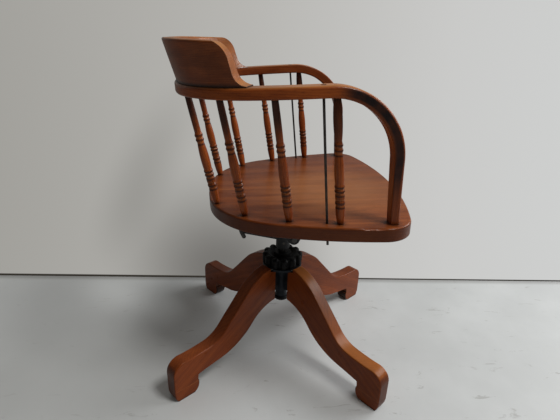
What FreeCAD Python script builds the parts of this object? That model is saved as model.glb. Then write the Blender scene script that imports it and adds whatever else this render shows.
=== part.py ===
import FreeCAD, Part
import math
import os

import Sketcher
from FreeCAD import Placement, Rotation, Vector

# Bankers swivel chair, in millimetres. The origin is on the floor under the middle of the column,
# +Z is up and the sitter looks along -Y, so +X is the sitter's left.

os.makedirs("parts", exist_ok=True)
document = FreeCAD.newDocument("bankers_swivel_chair")
sheet = document.addObject("Spreadsheet::Sheet", "Sizes")

# Driving dimensions. Heights below the seat are drops from the middle of the seat's top.

SIZES = {
    # seat board
    "seat_height": 468.0,
    "seat_tilt": 2.5,
    "seat_thickness": 30.0,
    "seat_back_y": 188.9,
    "seat_back_radius": 504.0,
    "seat_back_turn": 8.0,
    "seat_shoulder_radius": 202.0,
    "seat_shoulder_turn": 62.0,
    "seat_side_radius": 900.0,
    "seat_side_turn": 14.6,
    "seat_corner_radius": 60.0,
    "seat_front_turn": 15.8,
    "seat_top_round": 4.0,
    "seat_under_round": 3.0,
    # arm bow
    "rail_rise": 246.6,
    "rail_slope": 1.33,
    "rail_width": 38.0,
    "rail_thickness": 21.5,
    "rail_back_y": 224.0,
    "rail_back_radius": 430.0,
    "rail_back_turn": 15.0,
    "rail_corner_radius": 177.0,
    "rail_corner_turn": 61.0,
    "rail_side_radius": 520.0,
    "rail_side_turn": 14.0,
    "rail_top_round": 6.0,
    "rail_under_round": 3.5,
    "rail_inner_round": 2.5,
    "arm_run": 8.5,
    "arm_bend_radius": 130.5,
    "arm_knuckle_width": 36.0,
    "arm_knuckle_depth": 22.4,
    "arm_elbow_width": 32.0,
    "arm_elbow_depth": 21.0,
    "arm_foot_width": 24.5,
    "arm_foot_depth": 18.5,
    "arm_foot_round": 3.0,
    "arm_foot_spare": 12.0,
    "arm_tenon_diameter": 14.0,
    "arm_tenon_length": 20.0,
    # crest rail
    "crest_rise": 84.0,
    "crest_ledge": 5.0,
    "crest_flare": 20.0,
    "crest_top_thickness": 21.0,
    "crest_scoop_turn": 15.2,
    "crest_scoop_lead": 8.0,
    "crest_taper_turn": 41.0,
    "crest_taper_drop": 6.0,
    "crest_end_turn": 20.0,
    "crest_end_drop": 10.5,
    "crest_end_station": 272.0,
    "crest_top_slope": 7.0,
    "crest_shoulder_reach": 32.0,
    "crest_shoulder_height": 78.0,
    "crest_waist_height": 47.0,
    "crest_tip_reach": 24.0,
    "crest_lip": 2.0,
    "crest_edge_round": 3.5,
    "crest_dowel_diameter": 9.0,
    "crest_dowel_length": 34.0,
    # turned back spindles
    "spindle_radius": 10.0,
    "spindle_end_radius": 6.6,
    "spindle_neck_radius": 7.0,
    "arm_spindle_neck_radius": 8.7,
    "spindle_foot_depth": 18.0,
    "spindle_head_depth": 13.0,
    # tie rods between arm and seat
    "tie_rod_radius": 2.5,
    "tie_rod_tail": 19.0,
    "tie_rod_head_radius": 5.5,
    "tie_rod_head_depth": 3.0,
    "tie_rod_head_sink": 1.2,
    "tie_nut_width": 9.0,
    "tie_nut_height": 5.0,
    "tie_washer_radius": 7.5,
    "tie_washer_thickness": 1.5,
    # seat iron with its cheeks
    "iron_thickness": 6.0,
    "iron_half_width": 62.0,
    "iron_front_y": -100.0,
    "iron_back_y": 130.0,
    "iron_bar": 16.0,
    "iron_ear_radius": 14.0,
    "iron_ear_spread": 4.0,
    "iron_ear_front_inset": 12.0,
    "iron_ear_back_inset": 10.0,
    "iron_bar_screw_x": 25.0,
    "cheek_inner_x": 48.0,
    "cheek_thickness": 7.0,
    "cheek_front_y": -78.0,
    "cheek_back_y": 72.0,
    "cheek_eye_radius": 14.0,
    "cheek_window_radius": 19.0,
    "cheek_window_y": -10.0,
    "cheek_window_rise": 8.0,
    # tilt pivot, yoke, springs and stop hook
    "pivot_y": -16.0,
    "pivot_drop": 128.5,
    "pivot_rod_radius": 7.0,
    "pivot_rod_tail": 3.5,
    "pivot_rod_end_round": 0.8,
    "barrel_radius": 18.0,
    "barrel_half_length": 13.0,
    "yoke_arm_width": 22.0,
    "yoke_nose_radius": 7.0,
    "yoke_corner_round": 2.4,
    "ledge_half_width": 24.0,
    "ledge_back_y": 52.0,
    "ledge_length": 30.0,
    "ledge_thickness": 9.0,
    "spring_wire_radius": 3.25,
    "spring_coil_radius": 13.8,
    "spring_inner_x": 17.0,
    "spring_outer_x": 44.4,
    "spring_whole_turns": 3.0,
    "spring_bar_y": 48.0,
    "spring_gap": 0.3,
    "hook_radius": 5.5,
    "hook_top_y": 121.0,
    "hook_knee_y": 116.5,
    "hook_knee_drop": 122.0,
    "hook_knee_radius": 40.0,
    "hook_toe_y": 109.7,
    "hook_toe_drop": 138.5,
    "hook_nut_width": 18.0,
    "hook_nut_height": 8.0,
    # screw column and handwheel
    "screw_radius": 12.0,
    "screw_reach": 99.0,
    "screw_grip": 35.0,
    "boss_radius": 18.5,
    "boss_drop": 173.0,
    "boss_height": 38.0,
    "cross_pin_radius": 3.0,
    "cross_pin_rise": 17.0,
    "wheel_radius": 53.6,
    "wheel_height": 29.0,
    "wheel_lobes": 12.0,
    "wheel_lobe_radius": 9.4,
    "wheel_hub_radius": 20.0,
    "wheel_rib": 4.0,
    "thrust_washer_radius": 22.0,
    "thrust_washer_thickness": 3.0,
    # base
    "base_turn": -6.84,
    "tube_radius": 16.0,
    "tube_length": 111.0,
    "flange_radius": 52.0,
    "flange_drop": 219.0,
    "flange_thickness": 6.0,
    "fin_thickness": 8.0,
    "fin_reach": 72.0,
    "fin_height": 75.0,
    "fin_toe_inset": 14.0,
    "fin_toe_rise": 10.0,
    "fin_tip_rise": 26.0,
    "ring_radius": 19.5,
    "ring_height": 9.0,
    "ring_lip": 2.0,
    "leg_thickness": 34.3,
    "leg_root": 40.0,
    "leg_well_radius": 57.5,
    "leg_shoulder_rise": 4.5,
    "leg_edge_round": 3.0,
    "leg_heel_step": 4.5,
    "leg_crown_inset": 31.5,
    "foot_reach": 353.5,
    "foot_block_height": 30.0,
    "foot_block_length": 68.0,
    # fasteners and fits
    "wood_screw_radius": 2.5,
    "wood_screw_head_radius": 5.0,
    "wood_screw_length": 28.0,
    "leg_screw_circle": 49.0,
    "leg_screw_side": 10.5,
    "foot_screw_heel_inset": 45.5,
    "foot_screw_toe_inset": 17.5,
    "foot_screw_start": 6.0,
    "foot_screw_extra": 12.0,
    "running_fit": 0.06,
    "free_gap": 0.4,
    "socket_gap": 0.1,
    "hook_gap": 0.4,
}

for row, (alias, value) in enumerate(SIZES.items(), start=1):
    sheet.set(f"A{row}", alias)
    sheet.set(f"B{row}", str(value))
    sheet.setAlias(f"B{row}", alias)
document.recompute()


def size(alias):
    return float(getattr(sheet, alias))


# Frames in which groups of pieces are drawn

X_WAY = Vector(1, 0, 0)
Y_WAY = Vector(0, 1, 0)
Z_WAY = Vector(0, 0, 1)
seat_frame = Placement(Vector(0, 0, size("seat_height")), Rotation(X_WAY, -size("seat_tilt")))
rail_in_seat = Placement(Vector(0, 0, size("rail_rise")), Rotation(X_WAY, -size("rail_slope")))
rail_frame = seat_frame * rail_in_seat
column_frame = Placement()
seat_underside = -size("seat_thickness")
boss_foot = size("seat_height") - size("boss_drop")
flange_top = size("seat_height") - size("flange_drop")
leg_shelf = flange_top - size("flange_thickness")
tube_foot = flange_top - size("tube_length")
fin_foot = leg_shelf - size("fin_height")
screw_foot = flange_top - size("screw_reach")

finished = []


def keep(thing, label, placement=None):
    thing.Label = label
    if placement is not None:
        thing.Placement = placement
    finished.append(thing)
    return thing


def solid_node(shape, label, placement=None):
    thing = document.addObject("Part::Feature", label)
    thing.Shape = shape
    return keep(thing, label, placement)


# Outlines, drawn as a pen path of lines and tangent arcs


class Outline:
    def __init__(self, x, y, heading=0.0):
        self.start = Vector(x, y, 0)
        self.at = Vector(x, y, 0)
        self.heading = math.radians(heading)
        self.pieces = []

    def aim(self, degrees):
        self.heading = math.radians(degrees)
        return self

    def line_to(self, x, y):
        end = Vector(x, y, 0)
        self.pieces.append(Part.LineSegment(self.at, end))
        self.heading = math.atan2(y - self.at.y, x - self.at.x)
        self.at = end
        return self

    def ahead(self, length):
        step = Vector(math.cos(self.heading), math.sin(self.heading), 0) * length
        return self.line_to(self.at.x + step.x, self.at.y + step.y)

    def turn(self, radius, angle):
        # A left turn has a positive angle and a right turn a negative one.
        whole = math.radians(angle)
        points = []
        for part in (whole / 2, whole):
            chord = 2 * radius * math.sin(abs(part) / 2)
            way = self.heading + part / 2
            points.append(self.at + Vector(math.cos(way), math.sin(way), 0) * chord)
        self.pieces.append(Part.Arc(self.at, points[0], points[1]))
        self.heading += whole
        self.at = points[1]
        return self

    def arc_to(self, x, y):
        # The one arc that leaves along the present heading and ends at the point.
        bend = math.atan2(y - self.at.y, x - self.at.x) - self.heading
        bend = (bend + math.pi) % (2 * math.pi) - math.pi
        chord = math.hypot(x - self.at.x, y - self.at.y)
        return self.turn(chord / (2 * abs(math.sin(bend))), math.degrees(2 * bend))

    def arc_through(self, middle, end):
        target = Vector(end[0], end[1], 0)
        self.pieces.append(Part.Arc(self.at, Vector(middle[0], middle[1], 0), target))
        self.at = target
        return self

    def close(self):
        if self.at.distanceToPoint(self.start) > 1e-6:
            self.line_to(self.start.x, self.start.y)
        return self

    def wire(self):
        return Part.Wire([piece.toShape() for piece in self.pieces])

    def face(self):
        return Part.Face(self.wire())


def box_outline(low_x, low_y, high_x, high_y):
    outline = Outline(low_x, low_y).line_to(high_x, low_y).line_to(high_x, high_y)
    return outline.line_to(low_x, high_y).close()


# Bodies, sketches and features


def new_body(name):
    body = document.addObject("PartDesign::Body", name)
    body.Label = name
    return body


def sketch_on(body, role, name, offset=0.0):
    sketch = body.newObject("Sketcher::SketchObject", name)
    plane = next(item for item in body.Origin.OriginFeatures if item.Role == role)
    sketch.AttachmentSupport = [(plane, "")]
    sketch.MapMode = "FlatFace"
    sketch.AttachmentOffset = Placement(Vector(0, 0, offset), Rotation())
    return sketch


def draw(sketch, outline):
    sketch.addGeometry(list(outline.pieces), False)
    sketch.detectMissingPointOnPointConstraints(1e-6)
    sketch.makeMissingPointOnPointCoincident()
    return sketch


def draw_circle(sketch, x, y, radius_expression):
    index = sketch.addGeometry(Part.Circle(Vector(x, y, 0), Z_WAY, 1.0), False)
    constraint = sketch.addConstraint(Sketcher.Constraint("Radius", index, 1.0))
    sketch.setExpression(f"Constraints[{constraint}]", radius_expression)
    return sketch


def pad(body, sketch, name, length_expression, symmetric=False, backwards=False):
    feature = body.newObject("PartDesign::Pad", name)
    feature.Profile = sketch
    feature.SideType = "Symmetric" if symmetric else "One side"
    feature.Reversed = backwards
    feature.setExpression("Length", length_expression)
    return feature


def pocket(body, sketch, name, length_expression, symmetric=False, backwards=False):
    document.recompute()
    before = body.Shape.Volume
    feature = body.newObject("PartDesign::Pocket", name)
    feature.Profile = sketch
    feature.SideType = "Symmetric" if symmetric else "One side"
    feature.Reversed = backwards
    feature.setExpression("Length", length_expression)
    document.recompute()
    if body.Shape.Volume > before - 1e-3:
        raise RuntimeError(f"{name} cuts nothing from {body.Label}")
    return feature


def revolve(body, sketch, name, axis="V_Axis"):
    feature = body.newObject("PartDesign::Revolution", name)
    feature.Profile = sketch
    feature.ReferenceAxis = (sketch, [axis])
    feature.Angle = 360
    return feature


def repeat_round(body, feature, name, count_expression):
    axis = next(item for item in body.Origin.OriginFeatures if item.Role == "Z_Axis")
    pattern = body.newObject("PartDesign::PolarPattern", name)
    pattern.Originals = [feature]
    pattern.Axis = (axis, [""])
    pattern.Angle = 360
    pattern.setExpression("Occurrences", count_expression)
    body.Tip = pattern
    return pattern


def ease(body, name, expression, test):
    document.recompute()
    base = body.Tip
    chosen = [f"Edge{number}" for number, edge in enumerate(base.Shape.Edges, start=1) if test(edge)]
    feature = body.newObject("PartDesign::Fillet", name)
    feature.Base = (base, chosen)
    feature.setExpression("Radius", expression)
    document.recompute()
    return feature


def flat_at(edge, height):
    box = edge.BoundBox
    return abs(box.ZMin - height) < 1e-4 and abs(box.ZMax - height) < 1e-4


# Solids made from wires


def rod(start, end, radius):
    return Part.makeCylinder(radius, start.distanceToPoint(end), start, end - start)


def turned(outline):
    # The outline is radius against height, and touches the axis.
    face = outline.face()
    face.rotate(Vector(), X_WAY, 90)
    return face.revolve(Vector(), Z_WAY, 360)


def aimed(shape, foot, way):
    copy = shape.copy()
    copy.Placement = Placement(foot, Rotation(Z_WAY, way))
    return copy


def hexagon(width, height, hole_radius):
    radius = width / math.sqrt(3)
    points = [
        Vector(radius * math.cos(math.radians(60 * n)), radius * math.sin(math.radians(60 * n)), 0)
        for n in range(7)
    ]
    block = Part.Face(Part.makePolygon(points)).extrude(Vector(0, 0, height))
    return block.cut(Part.makeCylinder(hole_radius, height))


def section_wire(origin, across, upward, width, depth, rounds):
    # A rectangle with four corner radii: under outer, top outer, top inner and under inner.
    half, high = width / 2, depth / 2
    corners = [(half, -high), (half, high), (-half, high), (-half, -high)]
    arriving = [(-1, 0), (0, -1), (1, 0), (0, 1)]
    leaving = [(0, 1), (-1, 0), (0, -1), (1, 0)]
    points = []
    for (x, y), (ax, ay), (lx, ly), radius in zip(corners, arriving, leaving, rounds):
        inset = radius * (1 - math.sqrt(0.5))
        points.append((x + ax * radius, y + ay * radius))
        points.append((x + (ax + lx) * inset, y + (ay + ly) * inset))
        points.append((x + lx * radius, y + ly * radius))
    placed = [origin + across * x + upward * y for x, y in points]
    edges = []
    for first in range(0, 12, 3):
        edges.append(Part.Arc(placed[first], placed[first + 1], placed[first + 2]).toShape())
        edges.append(Part.LineSegment(placed[first + 2], placed[(first + 3) % 12]).toShape())
    return Part.Wire(edges)


def pipe(spine, sections):
    shell = Part.BRepOffsetAPI.MakePipeShell(spine)
    for section in sections:
        shell.add(section, False, False)
    shell.build()
    shell.makeSolid()
    return shell.shape()


def both_sides(half):
    other = half.mirror(Vector(), X_WAY)
    return half.fuse(other).removeSplitter()


# Plan lines that other pieces line up with


def follow(start_y, parts, distance):
    # The pen after a distance along the left half of a plan, from the back forward.
    pen = Outline(0, start_y, 0.0)
    left = distance
    for radius, angle in parts:
        whole = radius * math.radians(angle)
        walked = min(left, whole)
        if walked > 1e-6:
            pen.turn(radius, -math.degrees(walked / radius))
        left -= walked
    if left > 1e-6:
        pen.ahead(left)
    return pen


def outward_of(pen):
    return Vector(-math.sin(pen.heading), math.cos(pen.heading), 0)


def plan_parts(piece, names):
    return [(size(f"{piece}_{name}_radius"), size(f"{piece}_{name}_turn")) for name in names]


seat_parts = plan_parts("seat", ("back", "shoulder", "side"))
rail_parts = plan_parts("rail", ("back", "corner", "side"))
rail_length = sum(radius * math.radians(angle) for radius, angle in rail_parts)


def seat_point(distance, inset):
    pen = follow(size("seat_back_y"), seat_parts, distance)
    return pen.at - outward_of(pen) * inset


def rail_point(distance):
    return rail_in_seat.multVec(follow(size("rail_back_y"), rail_parts, distance).at)


def mirror_point(point, side):
    return Vector(side * point.x, point.y, point.z)


SIDES = {"left": 1, "right": -1}
# How far a drill runs past the face that it enters
OVERRUN = 5.0

# Where each back spindle stands: along the seat's edge, along the rail, and its inset
SPINDLES = {
    "back": (109.3, 116.8, 10.3),
    "corner": (214.6, 234.5, 19.6),
    "side": (321.9, 340.0, 21.5),
    "arm": (427.5, 449.9, 22.9),
}
TIE_ROD = (400.1, 425.8, 22.1)


def stand(station, side):
    seat_distance, rail_distance, inset = station
    foot = mirror_point(seat_point(seat_distance, inset), side)
    head = mirror_point(rail_point(rail_distance), side)
    return foot, head


def spindle_socket(station, side):
    foot, head = stand(station, side)
    way = (head - foot).normalize()
    radius = size("spindle_end_radius") + size("socket_gap")
    low = rod(foot - way * (size("spindle_foot_depth") + 1), foot + way * OVERRUN, radius)
    high = rod(head - way * OVERRUN, head + way * (size("spindle_head_depth") + 1), radius)
    return low, high


# Arm bow: one bent piece, a flat bow at the back whose two ends bend down to the seat


def rail_corners(inner):
    return (size("rail_under_round"), size("rail_top_round"), inner, size("rail_under_round"))


def arm_bow_half():
    middle = size("rail_thickness") / 2
    plan = Outline(0, size("rail_back_y"))
    for radius, angle in rail_parts:
        plan.turn(radius, -angle)
    spine = plan.wire()
    spine.translate(Vector(0, 0, middle))
    start = section_wire(
        Vector(0, size("rail_back_y"), middle), Y_WAY, Z_WAY,
        size("rail_width"), size("rail_thickness"), rail_corners(size("rail_inner_round")),
    )
    rail = pipe(spine, [start])
    forward = Vector(math.cos(plan.heading), math.sin(plan.heading), 0)
    outward = outward_of(plan)
    bend = size("arm_bend_radius")
    rail_end = Vector(plan.at.x, plan.at.y, middle)
    start_of_bend = rail_end + forward * size("arm_run")
    centre = start_of_bend - Z_WAY * bend

    def on_bend(angle):
        up, over = math.cos(math.radians(angle)), math.sin(math.radians(angle))
        return centre + (Z_WAY * up + forward * over) * bend

    knuckle, elbow = on_bend(45), on_bend(90)
    foot = elbow - Z_WAY * (size("rail_rise") + elbow.z + size("arm_foot_spare"))
    arm_spine = Part.Wire([
        Part.LineSegment(rail_end, start_of_bend).toShape(),
        Part.Arc(start_of_bend, on_bend(22), knuckle).toShape(),
        Part.Arc(knuckle, on_bend(68), elbow).toShape(),
        Part.LineSegment(elbow, foot).toShape(),
    ])
    rounds = [size("arm_foot_round")] * 4
    soft, hard = rail_corners(size("rail_inner_round")), rail_corners(size("rail_under_round"))
    across = (forward + Z_WAY).normalize()
    sections = [
        section_wire(rail_end, outward, Z_WAY, size("rail_width"), size("rail_thickness"), soft),
    ]
    for name, spot, upward, corners in (
        ("knuckle", knuckle, across, hard),
        ("elbow", elbow, forward, hard),
        ("foot", foot, forward, rounds),
    ):
        width, depth = size(f"arm_{name}_width"), size(f"arm_{name}_depth")
        sections.append(section_wire(spot, outward, upward, width, depth, corners))
    arm = pipe(arm_spine, sections)
    half = rail.fuse(arm)
    half.Placement = rail_in_seat
    return half, rail_in_seat.multVec(elbow), rail_in_seat.multVec(foot)


def make_arm_bow():
    half, elbow, foot = arm_bow_half()
    down = (foot - elbow).normalize()
    on_seat = elbow + down * (elbow.z / -down.z)
    spread = 3 * size("rail_width")
    corner = Vector(on_seat.x - spread, on_seat.y - spread, -spread)
    half = half.cut(Part.makeBox(2 * spread, 2 * spread, spread, corner))
    reach = size("arm_tenon_length")
    tenon = rod(on_seat - down * 2, on_seat + down * reach, size("arm_tenon_diameter") / 2)
    bow = both_sides(half.fuse(tenon))
    tools = []
    for side in SIDES.values():
        tools += [spindle_socket(station, side)[1] for station in SPINDLES.values()]
        foot_end, head_end = stand(TIE_ROD, side)
        way = (head_end - foot_end).normalize()
        past = head_end + way * 2 * size("rail_thickness")
        tools.append(rod(foot_end, past, size("tie_rod_radius") + size("socket_gap")))
        tools.append(tie_rod_head(side, size("socket_gap")))
    tools += crest_dowels(size("socket_gap"))
    solid_node(bow.cut(tools), "arm_bow", seat_frame)
    return on_seat, down


# Crest rail: swept along the bow, lower toward its ends, which are sawn square to the bow


def crest_section(pen, rise):
    outer = size("rail_width") / 2 - size("crest_ledge")
    lean = math.degrees(math.atan(size("crest_flare") / size("crest_rise")))
    edge = size("crest_edge_round")
    outline = Outline(outer, 0, 90 - lean)
    outline.ahead((rise - edge * (1 + math.sin(math.radians(lean)))) / math.cos(math.radians(lean)))
    outline.turn(edge, 90 + lean).ahead(size("crest_top_thickness") - 2 * edge)
    outline.turn(edge, 90 - lean + size("crest_scoop_turn") / 2 - size("crest_scoop_lead"))
    outline.arc_to(-size("rail_width") / 2, 0).close()
    wire = outline.wire()
    turn = Rotation(Z_WAY, math.degrees(pen.heading)) * Rotation(Vector(1, 1, 1), 120)
    wire.Placement = Placement(Vector(pen.at.x, pen.at.y, size("rail_thickness")), turn)
    return wire


def crest_end_tool():
    # What the saw takes off at the left end: distance from the end against height.
    before, shoulder_z = size("crest_shoulder_reach"), size("crest_shoulder_height")
    outline = Outline(-before, shoulder_z, -size("crest_top_slope"))
    outline.arc_to(-1, size("crest_waist_height")).ahead(size("crest_waist_height") / 2)
    outline.arc_to(size("crest_tip_reach"), size("crest_lip"))
    outline.line_to(size("crest_tip_reach"), -5).line_to(80, -5).line_to(80, 120)
    face = outline.line_to(-before, 120).close().face()
    pen = follow(size("rail_back_y"), rail_parts, size("crest_end_station"))
    turn = Rotation(Z_WAY, math.degrees(pen.heading)) * Rotation(X_WAY, 90)
    spot = Vector(pen.at.x, pen.at.y, size("rail_thickness"))
    face.Placement = Placement(spot, turn)
    deep = 2 * size("rail_width")
    normal = outward_of(pen)
    face.translate(normal * -deep)
    return face.extrude(normal * 2 * deep)


def make_crest():
    plan = Outline(0, size("rail_back_y"))
    pens = [(plan.at, plan.heading, size("crest_rise"))]
    plan.turn(size("rail_back_radius"), -size("rail_back_turn"))
    pens.append((plan.at, plan.heading, size("crest_rise")))
    for part in ("taper", "end"):
        plan.turn(size("rail_corner_radius"), -size(f"crest_{part}_turn"))
        pens.append((plan.at, plan.heading, size("crest_rise") - size(f"crest_{part}_drop")))
    spine = plan.wire()
    spine.translate(Vector(0, 0, size("rail_thickness")))
    sections = []
    for at, heading, rise in pens:
        pen = Outline(at.x, at.y)
        pen.heading = heading
        sections.append(crest_section(pen, rise))
    half = pipe(spine, sections).cut(crest_end_tool())
    crest = both_sides(half)
    seat_to_rail = rail_in_seat.inverse()
    tools = []
    for dowel in crest_dowels(size("socket_gap")):
        tool = dowel.copy()
        tool.Placement = seat_to_rail * tool.Placement
        tools.append(tool)
    solid_node(crest.cut(tools), "crest_rail", rail_frame)


CREST_DOWELS = (30, 80, 160, 200)


def crest_dowels(gap=0.0):
    # Dowels half in the rail and half in the crest, drawn in the seat's frame.
    dowels = []
    length = size("crest_dowel_length")
    for side in SIDES.values():
        for distance in CREST_DOWELS:
            pen = follow(size("rail_back_y"), rail_parts, distance)
            spot = Vector(side * pen.at.x, pen.at.y, size("rail_thickness") - length / 2 - gap)
            dowel = Part.makeCylinder(size("crest_dowel_diameter") / 2 + gap, length + 2 * gap)
            dowel.Placement = rail_in_seat * Placement(spot, Rotation())
            dowels.append(dowel)
    return dowels


# Turned back spindles


def spindle_outline(length, neck):
    girth = size("spindle_radius")
    end = size("spindle_end_radius")
    foot = size("spindle_foot_depth")

    def at(share):
        return length * share

    def ring(outline, share, width, radius, proud):
        outline.line_to(radius, at(share)).line_to(radius + proud, at(share + width / 3))
        outline.line_to(radius + proud, at(share + width * 2 / 3))
        outline.line_to(radius, at(share + width))

    outline = Outline(0, -foot).line_to(end - 0.5, -foot).line_to(end, 0.5 - foot).line_to(end, 0)
    outline.arc_through((0.87 * girth, at(0.07)), (0.96 * girth, at(0.145)))
    outline.line_to(0.86 * girth, at(0.165))
    ring(outline, 0.172, 0.028, 0.92 * girth, 0.7)
    outline.line_to(0.84 * girth, at(0.207))
    ring(outline, 0.214, 0.046, 0.92 * girth, 0.3)
    outline.line_to(0.84 * girth, at(0.267))
    ring(outline, 0.274, 0.024, 0.92 * girth, 0.8)
    outline.line_to(0.84 * girth, at(0.304))
    ring(outline, 0.311, 0.024, 0.92 * girth, 0.7)
    outline.line_to(0.88 * girth, at(0.342))
    outline.arc_through((0.96 * girth, at(0.43)), (0.72 * girth, at(0.582)))
    ring(outline, 0.595, 0.03, 0.75 * girth, 1.1)
    outline.line_to(0.72 * girth, at(0.63))
    ring(outline, 0.635, 0.03, 0.75 * girth, 1.1)
    outline.line_to(0.68 * girth, at(0.678))
    top = length + size("spindle_head_depth")
    outline.arc_through((neck, at(0.84)), (end - 0.2, length))
    outline.line_to(end - 0.2, top - 0.5).line_to(end - 0.7, top).line_to(0, top)
    return outline.close()


def make_spindle(name, station, side):
    foot, head = stand(station, side)
    body = new_body(name)
    sketch = sketch_on(body, "XZ_Plane", f"{name}_profile")
    neck = size("arm_spindle_neck_radius" if station == SPINDLES["arm"] else "spindle_neck_radius")
    draw(sketch, spindle_outline(foot.distanceToPoint(head), neck))
    revolve(body, sketch, f"{name}_turning")
    keep(body, name, seat_frame * Placement(foot, Rotation(Z_WAY, head - foot)))


# Tie rods, with a countersunk head in the arm and a nut under the seat


def tie_rod_head(side, gap=0.0):
    foot, head = stand(TIE_ROD, side)
    way = (head - foot).normalize()
    radius, shank = size("tie_rod_head_radius") + gap, size("tie_rod_radius") + gap
    crown = head + way * (size("rail_thickness") - size("tie_rod_head_sink"))
    depth = size("tie_rod_head_depth")
    cone = Part.makeCone(shank, radius, depth, crown - way * depth, way)
    if gap:
        return cone.fuse(rod(crown, crown + way * OVERRUN, radius))
    return cone


def tie_rod_end(side):
    foot, head = stand(TIE_ROD, side)
    way = (head - foot).normalize()
    return foot, head, way, foot + way * (seat_underside / way.z)


def make_tie_rods():
    nuts, washers = [], []
    for name, side in SIDES.items():
        foot, head, way, under = tie_rod_end(side)
        crown = head + way * (size("rail_thickness") - size("tie_rod_head_sink"))
        shank = rod(under - way * size("tie_rod_tail"), crown, size("tie_rod_radius"))
        solid_node(shank.fuse(tie_rod_head(side)).removeSplitter(), f"tie_rod_{name}", seat_frame)
        thickness = size("tie_washer_thickness")
        seat_of_washer = Vector(under.x, under.y, seat_underside)
        spot = seat_of_washer - Z_WAY * thickness
        disc = Part.makeCylinder(size("tie_washer_radius"), thickness, spot)
        bore = size("tie_rod_radius") + size("socket_gap")
        hole = rod(under - way * OVERRUN, under + way * OVERRUN, bore)
        washers.append(disc.cut(hole))
        nut = hexagon(size("tie_nut_width"), size("tie_nut_height"), 0.5)
        low = seat_of_washer - Z_WAY * (thickness + size("tie_nut_height"))
        nut.translate(low)
        nuts.append(nut.cut(rod(under - way * 20, under, size("tie_rod_radius") + 0.02)))
    solid_node(Part.makeCompound(nuts), "tie_rod_nuts", seat_frame)
    solid_node(Part.makeCompound(washers), "tie_rod_washers", seat_frame)


# Seat board


def seat_outline():
    outline = Outline(0, size("seat_back_y"))
    for radius, angle in seat_parts:
        outline.turn(radius, -angle)
    turned_so_far = sum(angle for _, angle in seat_parts)
    front = size("seat_front_turn")
    outline.turn(size("seat_corner_radius"), -(180 - front - turned_so_far))
    outline.turn(outline.at.x / math.sin(math.radians(front)), -front)
    front_middle = outline.at
    for piece in reversed(list(outline.pieces)):
        start, end = piece.StartPoint, piece.EndPoint
        middle = piece.value((piece.FirstParameter + piece.LastParameter) / 2)
        if end.distanceToPoint(front_middle) > start.distanceToPoint(front_middle):
            start, end = end, start
        outline.arc_through((-middle.x, middle.y), (-start.x, start.y))
        front_middle = Vector(start.x, start.y, 0)
    return outline


def make_seat(arm_foot, arm_down):
    blank = new_body("seat_blank")
    sketch = draw(sketch_on(blank, "XY_Plane", "seat_plan"), seat_outline())
    pad(blank, sketch, "seat_plank", "Sizes.seat_thickness", backwards=True)
    ease(blank, "seat_top_edge", "Sizes.seat_top_round", lambda edge: flat_at(edge, 0))
    ease(blank, "seat_under_edge", "Sizes.seat_under_round", lambda edge: flat_at(edge, seat_underside))
    tools = []
    for side in SIDES.values():
        tools += [spindle_socket(station, side)[0] for station in SPINDLES.values()]
        foot, head, way, under = tie_rod_end(side)
        bore = size("tie_rod_radius") + size("socket_gap")
        tools.append(rod(under - way * OVERRUN, foot + way * OVERRUN, bore))
        start, down = mirror_point(arm_foot, side), mirror_point(arm_down, side)
        deep = size("arm_tenon_length") + 1
        mortise = size("arm_tenon_diameter") / 2 + size("socket_gap")
        tools.append(rod(start - down * OVERRUN, start + down * deep, mortise))
    for spot in iron_screw_spots():
        tools.append(Part.makeCylinder(
            size("wood_screw_radius") + size("socket_gap"), size("wood_screw_length"),
            Vector(spot[0], spot[1], seat_underside - size("iron_thickness")),
        ))
    sockets = document.addObject("Part::Feature", "seat_sockets")
    sockets.Shape = Part.makeCompound(tools)
    board = document.addObject("Part::Cut", "seat_board")
    board.Base = blank
    board.Tool = sockets
    keep(board, "seat_board", seat_frame)


# Seat iron: a flat frame screwed under the seat, with two cheeks down to the pivot


def iron_screw_spots():
    reach = size("iron_half_width") + size("iron_ear_spread")
    front = size("iron_front_y") + size("iron_ear_front_inset")
    back = size("iron_back_y") - size("iron_ear_back_inset")
    middle = size("iron_front_y") + size("iron_bar") / 2
    inner = size("iron_bar_screw_x")
    ears = [(reach, front), (-reach, front), (reach, back), (-reach, back)]
    return ears + [(inner, middle), (-inner, middle)]


def touch_point(outside, centre, radius, side):
    # Where a line from the outside point touches the circle; side is 1 or -1.
    way = outside - centre
    lean = math.acos(radius / way.Length) * side
    ray = Rotation(Z_WAY, math.degrees(lean)).multVec(way).normalize()
    return centre + ray * radius


def cheek_outline():
    eye = Vector(size("pivot_y"), -size("pivot_drop"), 0)
    top = seat_underside - size("iron_thickness") / 2
    front, back = Vector(size("cheek_front_y"), top, 0), Vector(size("cheek_back_y"), top, 0)
    radius = size("cheek_eye_radius")
    left = touch_point(front, eye, radius, 1)
    right = touch_point(back, eye, radius, -1)
    outline = Outline(front.x, front.y).line_to(left.x, left.y)
    outline.arc_through((eye.x, eye.y - radius), (right.x, right.y))
    return outline.line_to(back.x, back.y).close()


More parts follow.
